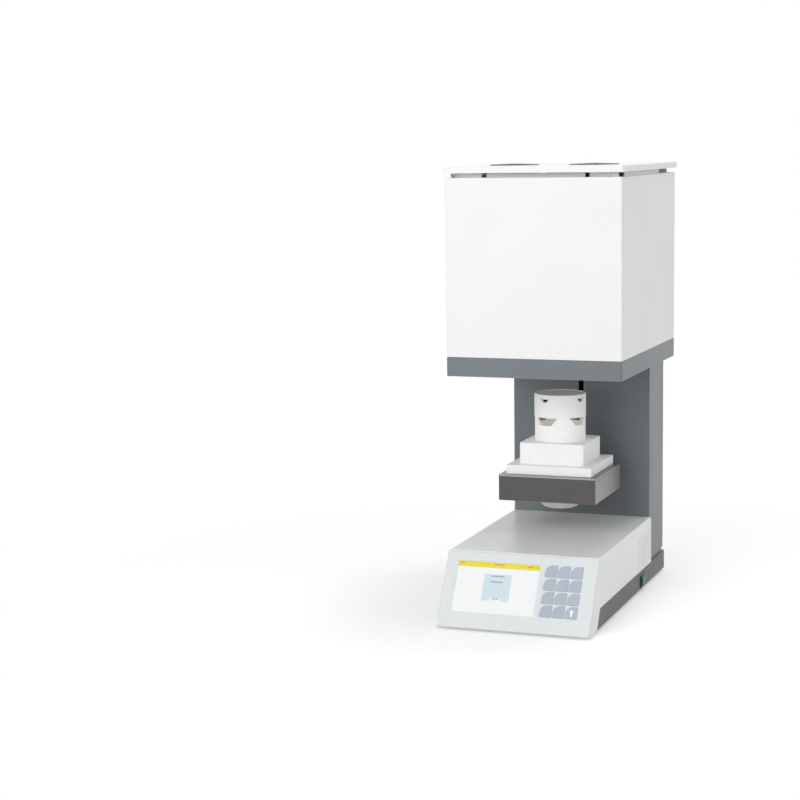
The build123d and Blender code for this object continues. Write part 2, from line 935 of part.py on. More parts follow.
def lift_carriage():
    half = carriage_width / 2
    y = (rod_y - carriage_thickness / 2, rod_y + carriage_thickness / 2)
    z = (carriage_foot, carriage_foot + carriage_height)
    body = block((-half, half), y, z)
    body = fillet(body.edges().filter_by(Axis.Y), motor_corner)
    window = bracket_width / 2
    for side in (-1, 1):
        mid_x = side * (window + rod_pitch / 2 - rod_diameter) / 2
        opening = Pos(mid_x, rod_y, (z[0] + z[1]) / 2) * Box(
            rod_pitch / 2 - rod_diameter - window, 2 * carriage_thickness, carriage_height / 2
        )
        body -= fillet(opening.edges().filter_by(Axis.Y), motor_corner / 2)
    bracket_y = (y[1], screw_y + nut_flange_diameter / 2)
    bracket = block(
        (-bracket_width / 2, bracket_width / 2), bracket_y, (bracket_z, bracket_z + bracket_height)
    )
    body += bracket
    through = (z[0] - 1, z[1] + 1)
    for x, y in rod_places():
        body -= rod(x, y, through, rod_diameter / 2 + running_gap)
    return body - rod(0, screw_y, through, nut_diameter / 2)


def lift_nut():
    top = bracket_z + bracket_height + nut_flange
    nut = rod(0, screw_y, (top - nut_flange, top), nut_flange_diameter / 2)
    nut += rod(0, screw_y, (top - nut_length, top - nut_flange), nut_diameter / 2)
    bore = (top - nut_length - 1, top + 1)
    return nut - rod(0, screw_y, bore, screw_diameter / 2 + running_gap)


def lift_arm():
    root = rod_y - carriage_thickness / 2
    tip = axis_y - arm_tip_reach
    outline = [
        (root, table_foot),
        (tip, table_foot),
        (tip, table_foot - arm_tip_height / 2),
        (axis_y, table_foot - arm_tip_height),
        (column_y, arm_foot),
        (root, arm_foot),
    ]
    return side_profile(outline, arm_thickness / 2)


# Table and trays


def table_pan():
    half = table_size / 2
    face_y = axis_y - half
    pan = square(half, axis_y, (table_foot, table_top_z))
    pan = fillet(upright_edges(pan), table_corner)
    pan = fillet(pan.faces().sort_by(Axis.Z)[0].edges(), table_corner / 2)
    inner = half - table_sheet
    hollow = (table_foot + table_sheet, table_top_z - table_sheet)
    pan -= square(inner, axis_y, hollow)
    groove_z = (table_top_z - 2 * table_rim_depth, table_top_z - table_rim_depth)
    groove = square(half + 1, axis_y, groove_z) - square(half - table_sheet / 3, axis_y, groove_z)
    pan -= groove
    seat = half - table_rim_inset
    fascia = block(
        (-seat + fascia_margin, seat - fascia_margin),
        (face_y - 1, face_y + fascia_thickness),
        (table_foot + fascia_margin, groove_z[0] - fascia_margin / 3),
    )
    return pan - fascia


def table_fascia():
    half = table_size / 2
    face_y = axis_y - half
    seat = half - table_rim_inset - fascia_margin
    top = table_top_z - 2 * table_rim_depth - fascia_margin / 3
    return block(
        (-seat, seat),
        (face_y, face_y + fascia_thickness),
        (table_foot + fascia_margin, top),
    )


def table_hub():
    """A turned cap under the table that hides the end of the arm."""
    top = table_foot
    foot = top - hub_depth
    arc_middle = (hub_bulge_radius, top - hub_bulge_depth)
    edge = make_face(
        Plane.XZ
        * (
            Line((0, foot), (hub_foot_radius, foot))
            + ThreePointArc((hub_foot_radius, foot), arc_middle, (hub_radius, top))
            + Line((hub_radius, top), (0, top))
            + Line((0, top), (0, foot))
        )
    )
    cap = Pos(0, axis_y, 0) * revolve(edge, Axis.Z, 360)
    slot = block(
        (-arm_thickness / 2 - fill_gap, arm_thickness / 2 + fill_gap),
        (axis_y - arm_tip_reach - fill_gap, axis_y + 2 * hub_radius),
        (top - arm_root_height, top + 1),
    )
    return cap - slot


def plinth_plate():
    slab = square(plinth_size / 2, axis_y, (table_top_z, plinth_top))
    return fillet(slab.edges(), plinth_edge)


def door_block():
    slab = square(door_size / 2, axis_y, (plinth_top, door_top))
    slab = fillet(upright_edges(slab), door_edge)
    return fillet(slab.faces().sort_by(Axis.Z)[-1].edges(), door_edge / 2)


lower_pot_top = door_top + lower_pot_height
upper_pot_top = lower_pot_top + upper_pot_height


def pot(radius, z):
    """A plain round tray: outer wall, floor and open top."""
    body = rod(0, axis_y, z, radius)
    hollow = rod(0, axis_y, (z[0] + pot_floor, z[1] + 1), radius - pot_wall)
    return body - hollow


def notches(radius, top, depth, half_top, half_foot):
    """Four notches cut through the rim, tapering down from half_top to half_foot degrees."""
    inner = radius - pot_wall - 2
    outer = radius + 2
    cuts = []
    for turn in range(4):
        ends = []
        for reach in (inner, outer):
            wide = reach * tan(radians(half_top))
            narrow = max(reach * tan(radians(half_foot)), 0.2)
            rise = wide / half_top
            points = [
                (-wide - rise, reach, 1),
                (wide + rise, reach, 1),
                (narrow, reach, -depth),
                (-narrow, reach, -depth),
            ]
            ends.append(make_face(Polyline(*points, close=True)))
        cut = loft(Sketch() + ends)
        direction = 180 + notch_turn + turn * 90
        cuts.append(Pos(0, axis_y, top) * Rot(0, 0, direction) * cut)
    return cuts


def lower_tray():
    tray = pot(tray_stack_radius, (door_top, lower_pot_top))
    for cut in notches(
        tray_stack_radius, lower_pot_top, big_notch_depth, big_notch_top, big_notch_foot
    ):
        tray -= cut
    return tray


def upper_tray():
    radius = tray_stack_radius + upper_tray_extra
    tray = pot(radius, (lower_pot_top, upper_pot_top))
    for cut in notches(radius, upper_pot_top, small_notch_depth, small_notch_half, 0):
        tray -= cut
    return tray


def tray_lid():
    radius = tray_stack_radius + upper_tray_extra
    top = upper_pot_top + pot_lid_height
    lid = rod(0, axis_y, (upper_pot_top, top), radius)
    lid = fillet(lid.edges().group_by(Axis.Z)[-1], pot_lid_dish)
    lid -= rod(0, axis_y, (top - pot_lid_dish, top + 1), radius - pot_lid_rim)
    spigot = (upper_pot_top - pot_lid_spigot, upper_pot_top)
    return lid + rod(0, axis_y, spigot, radius - pot_wall - loose_gap)


# Head


def head_shelf():
    half = head_width / 2
    y = (head_front, head_back)
    skirt = block((-half, half), y, (column_top, shelf_top))
    skirt = fillet(upright_edges(skirt), head_corner)
    skirt -= block(
        (-half + shelf_sheet, half - shelf_sheet),
        (y[0] + shelf_sheet, y[1] - shelf_sheet),
        (column_top + shelf_sheet, shelf_top - shelf_sheet),
    )
    step = block(
        (-half + reveal_depth, half - reveal_depth),
        (y[0] + reveal_depth, y[1] - reveal_depth),
        (shelf_top, head_z),
    )
    mouth = block(
        (-half + shelf_flange, half - shelf_flange),
        (y[0] + shelf_flange, y[1] - shelf_flange),
        (shelf_top - 2 * shelf_sheet, head_z + 1),
    )
    skirt = skirt + step - mouth
    hole = plinth_size / 2 + plinth_clearance
    skirt -= square(hole, axis_y, (column_top - 1, column_top + shelf_sheet + 1))
    collar_z = (column_top + shelf_sheet, muffle_z)
    collar = square(hole + shelf_sheet, axis_y, collar_z)
    flange_z = (muffle_z - shelf_sheet, muffle_z)
    collar += square(hole + collar_flange, axis_y, flange_z)
    collar -= square(hole, axis_y, (column_top, muffle_z + 1))
    return skirt + collar


def head_casing():
    half = head_width / 2
    shell = block((-half, half), (head_front, head_back), (head_z, head_top))
    shell = fillet(upright_edges(shell), head_corner)
    shell -= block(
        (-half + casing_sheet, half - casing_sheet),
        (head_front + casing_sheet, head_back - casing_sheet),
        (head_z + casing_sheet, head_top - casing_sheet),
    )
    foot = casing_foot_flange
    shell -= block(
        (-half + foot, half - foot),
        (head_front + foot, head_back - foot),
        (head_z - 1, head_z + 2 * casing_sheet),
    )
    rim = casing_flange
    shell -= block(
        (-half + rim, half - rim),
        (head_front + rim, head_back - rim),
        (head_top - 2 * casing_sheet, head_top + 1),
    )
    return shell


def vent_neck():
    """The light ring inside the air gap, on the edge of the casing's opening."""
    inset = casing_flange - neck_margin - neck_wall
    half = head_width / 2 - inset
    y = (head_front + inset, head_back - inset)
    z = (head_top, head_top + neck_height)
    ring = block((-half, half), y, z)
    inner = block(
        (-half + neck_wall, half - neck_wall),
        (y[0] + neck_wall, y[1] - neck_wall),
        (z[0] - 1, z[1] + 1),
    )
    return ring - inner


def spacer_corners():
    half = head_width / 2 - spacer_inset
    near = head_front + spacer_inset
    far = head_back - spacer_inset
    return [(i * half, i, y, j) for i in (-1, 1) for y, j in ((near, -1), (far, 1))]


def lid_spacers():
    """Corner blocks that hold the lid above the air gap, notched for the neck."""
    blocks = []
    inset = casing_flange - neck_margin - neck_wall
    ring_x = head_width / 2 - inset
    ring_y = (head_front + inset, head_back - inset)
    cut_z = (head_top - 1, head_top + neck_height + fill_gap)
    band = block(
        (-ring_x - fill_gap, ring_x + fill_gap), (ring_y[0] - fill_gap, ring_y[1] + fill_gap), cut_z
    )
    for x, i, y, j in spacer_corners():
        body = block(
            sorted((x, x - i * spacer_size)),
            sorted((y, y - j * spacer_size)),
            (head_top, lid_top - lid_sheet),
        )
        blocks.append(body - band)
    return Compound(blocks)


def vent_places():
    y = head_front + vent_reach
    return [(-vent_pitch / 2, y), (vent_pitch / 2, y)]


def lid_plate():
    half = head_width / 2 + lid_overhang
    y = (head_front - lid_overhang, head_back + lid_overhang)
    lid = block((-half, half), y, (lid_z, lid_top))
    lid = fillet(upright_edges(lid), lid_corner)
    lid = fillet(lid.faces().sort_by(Axis.Z)[-1].edges(), lid_sheet / 2)
    lid -= block(
        (-half + lid_sheet, half - lid_sheet),
        (y[0] + lid_sheet, y[1] - lid_sheet),
        (lid_z - 1, lid_top - lid_sheet),
    )
    for x, vent_y in vent_places():
        lid -= rod(x, vent_y, (lid_z, lid_top + 1), vent_radius - vent_rim)
    return lid


def vent_grilles():
    """Two round grilles on the lid: a rim, a shallow dome of rings and two crossing bars."""
    grilles = []
    pitch = (vent_radius - vent_rim) / vent_ring_count
    rim_top = lid_top + vent_rim_height
    for x, y in vent_places():
        rim = rod(x, y, (lid_top, rim_top), vent_radius)
        rim = chamfer(rim.edges().group_by(Axis.Z)[-1], vent_rim_height / 2)
        rim -= rod(x, y, (lid_top - 1, rim_top + 1), vent_radius - vent_rim)
        inner = vent_radius - vent_rim
        bars = Box(2 * inner + vent_rim, vent_bar, vent_rim_height)
        bars += Box(vent_bar, 2 * inner + vent_rim, vent_rim_height)
        grille = rim + Pos(x, y, lid_top + vent_rim_height / 2) * bars
        for i in range(1, vent_ring_count):
            outer = inner - i * pitch + vent_ring_width / 2
            rise = vent_dome * i / vent_ring_count
            z = (lid_top, rim_top + rise)
            ring = rod(x, y, z, outer) - rod(x, y, (z[0] - 1, z[1] + 1), outer - vent_ring_width)
            grille += ring
        grilles.append(grille)
    return Compound(grilles)


# Muffle


def muffle_floor():
    board = square(muffle_half, axis_y, (muffle_z, chamber_z))
    throat = door_size / 2 + door_clearance
    return board - square(throat, axis_y, (muffle_z - 1, chamber_z + 1))


def muffle_walls():
    inner = chamber_size / 2
    z = (chamber_z, roof_z)
    boards = []
    for side in (-1, 1):
        x = sorted((side * inner, side * muffle_half))
        boards.append(block(x, (axis_y - inner, axis_y + inner), z))
        y = sorted((axis_y + side * inner, axis_y + side * muffle_half))
        boards.append(block((-muffle_half, muffle_half), y, z))
    return Compound(boards)


def element_legs():
    """Axes of the element legs, in pairs that share one hairpin."""
    x = chamber_size / 2 - element_setback
    pairs = []
    for side in (-1, 1):
        for pair in (-1, 1):
            mid = axis_y + pair * element_pair_pitch / 2
            half = element_leg_pitch / 2
            pairs.append((side * x, mid - half, mid + half))
    return pairs


def probe_y():
    return axis_y + chamber_size / 2 - probe_setback


def muffle_roof():
    roof = square(muffle_half, axis_y, (roof_z, roof_top))
    through = (roof_z - 1, roof_top + 1)
    for x, near, far in element_legs():
        for y in (near, far):
            roof -= rod(x, y, through, terminal_diameter / 2 + fill_gap)
    return roof - rod(0, probe_y(), through, probe_diameter / 2 + fill_gap)


def heating_elements():
    """Hairpins of a thin hot zone with thick terminals that pass the roof."""
    foot = chamber_z + element_floor_gap
    bend = element_leg_pitch / 2
    thick_z = roof_z - terminal_start
    pins = []
    for x, near, far in element_legs():
        mid = (near + far) / 2
        ring = Torus(bend, element_diameter / 2)
        ring = Pos(x, mid, foot + bend) * Rot(0, 90, 0) * ring
        lower = block(
            (x - element_diameter, x + element_diameter),
            (near - element_diameter, far + element_diameter),
            (foot - element_diameter, foot + bend),
        )
        pin = ring & lower
        for y in (near, far):
            pin += rod(x, y, (foot + bend, thick_z), element_diameter / 2)
            pin += rod(x, y, (thick_z, roof_top + terminal_rise), terminal_diameter / 2)
        pins.append(pin)
    return Compound(pins)


def element_holders():
    holders = []
    z = (roof_top, roof_top + holder_height)
    for x, near, far in element_legs():
        for y in (near, far):
            holder = rod(x, y, z, holder_diameter / 2)
            holder = chamfer(holder.edges().group_by(Axis.Z)[-1], holder_height / 7)
            bore = (z[0] - 1, z[1] + 1)
            holders.append(holder - rod(x, y, bore, terminal_diameter / 2 + fill_gap))
    return Compound(holders)


def terminal_straps():
    """Straps that join neighbouring terminals, each with a clamp round both ends."""
    straps = []
    top = roof_top + terminal_rise - strap_drop
    z = (top - strap_width, top)
    clamp = terminal_diameter / 2 + strap_thickness
    for x, near, far in element_legs():
        for y in (near, far):
            ring = rod(x, y, z, clamp)
            ring -= rod(x, y, (z[0] - 1, z[1] + 1), terminal_diameter / 2 + fill_gap)
            straps.append(ring)
    for side in (-1, 1):
        x = side * (chamber_size / 2 - element_setback)
        reach = (element_pair_pitch - element_leg_pitch) / 2 - clamp - fill_gap
        link = block(
            (x - strap_thickness / 2, x + strap_thickness / 2),
            (axis_y - reach, axis_y + reach),
            z,
        )
        straps.append(link)
    return Compound(straps)


def thermocouple():
    y = probe_y()
    tube = rod(0, y, (roof_z - probe_reach, roof_top + probe_rise), probe_diameter / 2)
    collar = rod(0, y, (roof_top, roof_top + probe_diameter), probe_diameter)
    top = roof_top + probe_rise
    head = rod(0, y, (top, top + probe_head_height), probe_head / 2)
    head = fillet(head.edges().group_by(Axis.Z)[-1], probe_head / 6)
    return tube + collar + head


# Fan


def fan_frame():
    x, z = fan_middle()
    frame = Box(fan_size, fan_size, fan_depth)
    frame = fillet(upright_edges(frame), fan_strut)
    frame -= Cylinder(fan_bore, 2 * fan_depth)
    foot = -fan_depth / 2 + fan_plate / 2
    struts = Box(2 * fan_bore + 2, fan_strut, fan_plate) + Box(fan_strut, 2 * fan_bore + 2, fan_plate)
    frame += Pos(0, 0, foot) * (struts + Cylinder(fan_hub, fan_plate))
    frame -= Pos(0, 0, foot) * Cylinder(fan_shaft / 2 + running_gap, 2 * fan_plate)
    hole = fan_size / 2 - fan_screw_inset
    for i in (-1, 1):
        for j in (-1, 1):
            frame -= Pos(i * hole, j * hole, 0) * Cylinder(fan_screw_hole / 2, 2 * fan_depth)
    return Pos(x, rear_inner - fan_depth / 2, z) * Rot(-90, 0, 0) * frame


def fan_rotor():
    x, z = fan_middle()
    depth = fan_depth - 3 * fan_plate
    hub = fillet(Cylinder(fan_hub, depth).edges().group_by(Axis.Z)[-1], fan_plate / 2)
    tip = fan_bore - fan_tip_gap
    root = fan_hub - fan_blade_thickness
    blades = Part()
    for i in range(fan_blades):
        blade = Pos((root + tip) / 2, 0, 0) * Rot(fan_blade_pitch, 0, 0)
        blade = blade * Box(tip - root, fan_blade_thickness, fan_chord)
        blades += Rot(0, 0, i * 360 / fan_blades) * blade
    blades &= Cylinder(tip, depth)
    rotor = hub + blades
    rotor += Pos(0, 0, -depth / 2 - fan_plate) * Cylinder(fan_shaft / 2, 2 * fan_plate)
    lift = fan_plate / 2
    return Pos(x, rear_inner - fan_depth / 2, z) * Rot(-90, 0, 0) * Pos(0, 0, lift) * rotor


os.makedirs("parts", exist_ok=True)

pieces = [
    base_tray,
    feet,
    base_cover,
    front_panel,
    display_glass,
    display_module,
    key_carrier,
    control_board,
    transformer,
    power_supply,
    switch_bezel,
    switch_rocker,
    mains_inlet,
    column_sides,
    column_front,
    column_rear_cover,
    lower_bearing_plate,
    upper_bearing_plate,
    guide_rods,
    lift_motor,
    screw_coupling,
    lead_screw,
    lift_carriage,
    lift_nut,
    lift_arm,
    table_pan,
    table_fascia,
    table_hub,
    plinth_plate,
    door_block,
    lower_tray,
    upper_tray,
    tray_lid,
    head_shelf,
    head_casing,
    vent_neck,
    lid_spacers,
    lid_plate,
    vent_grilles,
    muffle_floor,
    muffle_walls,
    muffle_roof,
    heating_elements,
    element_holders,
    terminal_straps,
    thermocouple,
    fan_frame,
]

for piece in pieces:
    write(piece.__name__, piece())
write("fan_rotor", fan_rotor())
for row in range(key_rows):
    for column in range(key_columns):
        write(f"key_row{row + 1}_column{column + 1}", key(row, column))
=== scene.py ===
import json
from math import cos, pi, radians, sin

import bmesh
import bpy
from mathutils import Matrix, Vector


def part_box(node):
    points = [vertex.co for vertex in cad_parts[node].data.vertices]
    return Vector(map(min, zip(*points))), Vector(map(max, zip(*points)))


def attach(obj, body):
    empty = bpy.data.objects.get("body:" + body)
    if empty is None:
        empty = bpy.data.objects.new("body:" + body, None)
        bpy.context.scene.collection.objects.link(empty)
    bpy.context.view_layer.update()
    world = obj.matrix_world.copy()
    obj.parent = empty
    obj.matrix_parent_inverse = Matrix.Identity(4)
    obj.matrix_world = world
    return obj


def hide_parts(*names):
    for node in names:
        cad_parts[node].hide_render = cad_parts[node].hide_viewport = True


# Looks of the bench-top sintering furnace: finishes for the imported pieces, the display's picture,
# a key's arrow, firing trays, table front, air gap and screws. Metres, +Z up, front at -Y.

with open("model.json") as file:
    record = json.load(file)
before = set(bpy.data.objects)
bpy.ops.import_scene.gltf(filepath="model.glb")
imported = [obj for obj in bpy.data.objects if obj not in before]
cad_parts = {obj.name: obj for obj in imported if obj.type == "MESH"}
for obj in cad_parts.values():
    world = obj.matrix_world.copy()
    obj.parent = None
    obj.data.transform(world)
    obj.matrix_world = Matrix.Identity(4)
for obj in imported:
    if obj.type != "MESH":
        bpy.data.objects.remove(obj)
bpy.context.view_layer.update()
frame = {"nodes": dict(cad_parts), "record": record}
print("frame loaded,", len(frame["nodes"]), "nodes")


# Helpers for shader and geometry trees

def addNode(tree, kind, props=None, inputs=None):  # a socket among the inputs is linked, a value is set
    node = tree.nodes.new(kind)
    for key, value in (props or {}).items():
        setattr(node, key, value)
    for key, value in (inputs or {}).items():
        if isinstance(value, bpy.types.NodeSocket):
            tree.links.new(value, node.inputs[key])
        else:
            node.inputs[key].default_value = value
    return node


def maths(tree, operation, first, second):
    return addNode(tree, "ShaderNodeMath", {"operation": operation}, {0: first, 1: second}).outputs[0]


def spread(tree, value, low, high, toLow=0.0, toHigh=1.0, manner="LINEAR"):
    inputs = {"Value": value, "From Min": low, "From Max": high, "To Min": toLow, "To Max": toHigh}
    return addNode(tree, "ShaderNodeMapRange", {"interpolation_type": manner}, inputs).outputs["Result"]


def mixColours(tree, mask, first, second):
    node = addNode(tree, "ShaderNodeMix", {"data_type": "RGBA"})
    for index, value in ((0, mask), (6, first), (7, second)):  # the node's factor and its two colours
        if isinstance(value, bpy.types.NodeSocket):
            tree.links.new(value, node.inputs[index])
        else:
            node.inputs[index].default_value = value if index == 0 else (*value, 1.0)
    return node.outputs[2]


def newGroup(name, inputs, outputs):  # a tuple makes a vector input, a number a plain one
    group = bpy.data.node_groups.new(name, "ShaderNodeTree")
    for label, value in inputs.items():
        kind = "NodeSocketVector" if isinstance(value, tuple) else "NodeSocketFloat"
        socket = group.interface.new_socket(name=label, in_out="INPUT", socket_type=kind)
        socket.default_value = value
    for label in outputs:
        group.interface.new_socket(name=label, in_out="OUTPUT", socket_type="NodeSocketFloat")
    return group, group.nodes.new("NodeGroupInput").outputs, group.nodes.new("NodeGroupOutput")


def place(tree, group, **inputs):
    node = addNode(tree, "ShaderNodeGroup", {"node_tree": group})
    for label, value in inputs.items():
        node.inputs[label].default_value = value
    return node.outputs


def noise(tree, spot, scale, detail, rough=0.5):
    inputs = {"Vector": spot, "Scale": scale, "Detail": detail, "Roughness": rough}
    return addNode(tree, "ShaderNodeTexNoise", {}, inputs).outputs["Fac"]


# Effects that several finishes share

coatShape = {"grain": 900.0, "blotch": 7.0, "fineDetail": 2.0, "broadDetail": 1.0, "mottle": (0.2, 0.8)}


def makeCoatGrain():
    sizes = {"grain": coatShape["grain"], "blotch": coatShape["blotch"]}
    group, given, out = newGroup("coatGrain", sizes, ["height", "mottle"])
    spot = addNode(group, "ShaderNodeTexCoord").outputs["Object"]
    fine = noise(group, spot, given["grain"], coatShape["fineDetail"])
    broad = noise(group, spot, given["blotch"], coatShape["broadDetail"])
    group.links.new(fine, out.inputs["height"])
    group.links.new(spread(group, broad, *coatShape["mottle"], manner="SMOOTHSTEP"), out.inputs["mottle"])
    return group


brushShape = {"stretch": (60.0, 60.0, 2400.0), "detail": 4.0, "streak": (0.3, 0.7)}


def makeBrushGrain():
    group, given, out = newGroup("brushGrain", {"stretch": brushShape["stretch"]}, ["height", "streak"])
    spot = addNode(group, "ShaderNodeTexCoord").outputs["Object"]
    scaled = addNode(group, "ShaderNodeVectorMath", {"operation": "MULTIPLY"},
                     {0: spot, 1: given["stretch"]}).outputs[0]
    brushed = noise(group, scaled, 1.0, brushShape["detail"])
    group.links.new(brushed, out.inputs["height"])
    group.links.new(spread(group, brushed, *brushShape["streak"]), out.inputs["streak"])
    return group


feltShape = {"pore": 260.0, "cloud": 18.0, "poreDetail": 6.0, "poreRough": 0.7, "cloudDetail": 3.0,
             "shade": (0.3, 0.7), "pits": (0.05, 0.22)}


def makeFibreFelt():
    sizes = {"pore": feltShape["pore"], "cloud": feltShape["cloud"]}
    group, given, out = newGroup("fibreFelt", sizes, ["height", "shade", "pits"])
    spot = addNode(group, "ShaderNodeTexCoord").outputs["Object"]
    felt = noise(group, spot, given["pore"], feltShape["poreDetail"], feltShape["poreRough"])
    cloud = noise(group, spot, given["cloud"], feltShape["cloudDetail"])
    cells = addNode(group, "ShaderNodeTexVoronoi", {}, {"Vector": spot, "Scale": given["pore"]})
    group.links.new(felt, out.inputs["height"])
    group.links.new(spread(group, cloud, *feltShape["shade"]), out.inputs["shade"])
    group.links.new(spread(group, cells.outputs["Distance"], *feltShape["pits"]), out.inputs["pits"])
    return group


edgeHighlightShape = {"radius": 0.0015, "samples": 4, "flat": 0.995, "sharp": 0.86}


# The mask marks rounded edges, where the finishes mix in a lighter colour: a painted highlight.
def makeEdgeHighlightMask():
    group, given, out = newGroup("edgeHighlightMask", {"radius": edgeHighlightShape["radius"]}, ["edge"])
    rounded = addNode(group, "ShaderNodeBevel", {"samples": edgeHighlightShape["samples"]},
                      {"Radius": given["radius"]})
    flat = addNode(group, "ShaderNodeNewGeometry").outputs["True Normal"]
    along = addNode(group, "ShaderNodeVectorMath", {"operation": "DOT_PRODUCT"},
                    {0: rounded.outputs["Normal"], 1: flat}).outputs["Value"]
    group.links.new(spread(group, along, edgeHighlightShape["flat"], edgeHighlightShape["sharp"]), out.inputs["edge"])
    return group


coatGrain = makeCoatGrain()
brushGrain = makeBrushGrain()
fibreFelt = makeFibreFelt()
edgeHighlightMask = makeEdgeHighlightMask()


# Finishes, with what each kind has where a look doesn't say otherwise

usualPaint = {"blotch": 7.0, "edgeRadius": 0.0015, "vary": (-0.03, 0.04), "gloss": 0.5, "bump": 0.25,
              "depth": 0.00005}
usualMetal = {"metal": 1.0, "vary": (-0.05, 0.07), "bump": 0.2, "depth": 0.00003}
usualCeramic = {"glow": 0.0}
usualPlastic = {"blotch": 20.0, "grainSpan": (0.3, 0.7), "vary": (-0.04, 0.04), "gloss": 0.5, "coat": 0.0,
                "coatRough": 0.08, "glow": 0.0, "bump": 0.15, "depth": 0.00003}


def startMaterial(name):
    material = bpy.data.materials.new(name)
    material.use_nodes = True
    return material, material.node_tree, material.node_tree.nodes["Principled BSDF"]


def setRough(tree, shader, value, look, span=(0.0, 1.0)):
    least, most = look["vary"]
    rough = spread(tree, value, *span, look["rough"] + least, look["rough"] + most)
    tree.links.new(rough, shader.inputs["Roughness"])


def setBump(tree, shader, height, look):
    inputs = {"Height": height, "Strength": look["bump"], "Distance": look["depth"]}
    bump = addNode(tree, "ShaderNodeBump", {}, inputs)
    tree.links.new(bump.outputs["Normal"], shader.inputs["Normal"])


def paintedFinish(name, ownLook):
    look = usualPaint | ownLook
    material, tree, shader = startMaterial(name)
    coat = place(tree, coatGrain, grain=look["grain"], blotch=look["blotch"])
    edge = place(tree, edgeHighlightMask, radius=look["edgeRadius"])["edge"]
    shade = mixColours(tree, coat["mottle"], look["colour"], look["colourAway"])
    # Edges take a lighter colour than the face: a painted highlight.
    shade = mixColours(tree, maths(tree, "MULTIPLY", edge, look["edgeHighlightShare"]), shade, look["edgeHighlightColour"])
    tree.links.new(shade, shader.inputs["Base Color"])
    setRough(tree, shader, coat["mottle"], look)
    shader.inputs["Specular IOR Level"].default_value = look["gloss"]
    setBump(tree, shader, coat["height"], look)
    return material


def metalFinish(name, ownLook):
    look = usualMetal | ownLook
    material, tree, shader = startMaterial(name)
    brush = place(tree, brushGrain, stretch=look["stretch"])
    shade = mixColours(tree, brush["streak"], look["colour"], look["colourAway"])
    tree.links.new(shade, shader.inputs["Base Color"])
    setRough(tree, shader, brush["streak"], look)
    shader.inputs["Metallic"].default_value = look["metal"]
    setBump(tree, shader, brush["height"], look)
    return material


def ceramicFinish(name, ownLook):
    look = usualCeramic | ownLook
    material, tree, shader = startMaterial(name)
    felt = place(tree, fibreFelt, pore=look["pore"], cloud=look["cloud"])
    shade = mixColours(tree, felt["shade"], look["colour"], look["colourAway"])
    # Pits are tinted darker than the felt around them: painted shade in the pores.
    pitShadeMask = spread(tree, felt["pits"], 0.0, 1.0, look["pitShadeShare"], 0.0)
    shade = mixColours(tree, pitShadeMask, shade, look["pitShadeColour"])
    tree.links.new(shade, shader.inputs["Base Color"])
    shader.inputs["Roughness"].default_value = look["rough"]
    # A look's glow makes the surface give out light of its own colour: painted light.
    tree.links.new(shade, shader.inputs["Emission Color"])
    shader.inputs["Emission Strength"].default_value = look["glow"]
    setBump(tree, shader, felt["height"], look)
    return material


def plasticFinish(name, ownLook):
    look = usualPlastic | ownLook
    material, tree, shader = startMaterial(name)
    coat = place(tree, coatGrain, grain=look["grain"], blotch=look["blotch"])
    shade = mixColours(tree, coat["mottle"], look["colour"], look["colourAway"])
    tree.links.new(shade, shader.inputs["Base Color"])
    setRough(tree, shader, coat["height"], look, look["grainSpan"])
    shader.inputs["Specular IOR Level"].default_value = look["gloss"]
    shader.inputs["Coat Weight"].default_value = look["coat"]
    shader.inputs["Coat Roughness"].default_value = look["coatRough"]
    setBump(tree, shader, coat["height"], look)
    if look["glow"]:
        tree.links.new(shade, shader.inputs["Emission Color"])
        shader.inputs["Emission Strength"].default_value = look["glow"]
    return material


paints = {
    "white_powder_coat": {"colour": (0.845, 0.845, 0.845), "colourAway": (0.83, 0.831, 0.833), "rough": 0.42,
                          "grain": 950.0, "edgeHighlightShare": 0.35, "edgeHighlightColour": (0.95, 0.95, 0.95)},
    "grey_powder_coat": {"colour": (0.185, 0.208, 0.220), "colourAway": (0.178, 0.200, 0.213), "rough": 0.36,
                         "grain": 800.0, "edgeHighlightShare": 0.6, "edgeHighlightColour": (0.46, 0.49, 0.51), "bump": 0.18,
                         "gloss": 0.22},
    "dark_powder_coat": {"colour": (0.105, 0.105, 0.108), "colourAway": (0.092, 0.092, 0.096), "rough": 0.48,
                         "grain": 700.0, "edgeHighlightShare": 0.4, "edgeHighlightColour": (0.24, 0.24, 0.25), "bump": 0.4},
    "light_grey_coat": {"colour": (0.87, 0.872, 0.868), "colourAway": (0.855, 0.858, 0.855), "rough": 0.36,
                        "grain": 900.0, "edgeHighlightShare": 0.4, "edgeHighlightColour": (0.93, 0.93, 0.93)},
    # fascia_grey is a dark grey for the table's front, standing in for the dark reflection its steel shows:
    # a painted reflection.
    "fascia_grey": {"colour": (0.094, 0.087, 0.089), "colourAway": (0.088, 0.081, 0.084), "rough": 0.42,
                    "grain": 900.0, "edgeHighlightShare": 0.3, "edgeHighlightColour": (0.2, 0.19, 0.19), "gloss": 0.3},
    "cap_enamel": {"colour": (0.72, 0.69, 0.69), "colourAway": (0.69, 0.66, 0.66), "rough": 0.35,
                   "grain": 900.0, "edgeHighlightShare": 0.2, "edgeHighlightColour": (0.8, 0.78, 0.77)},
}
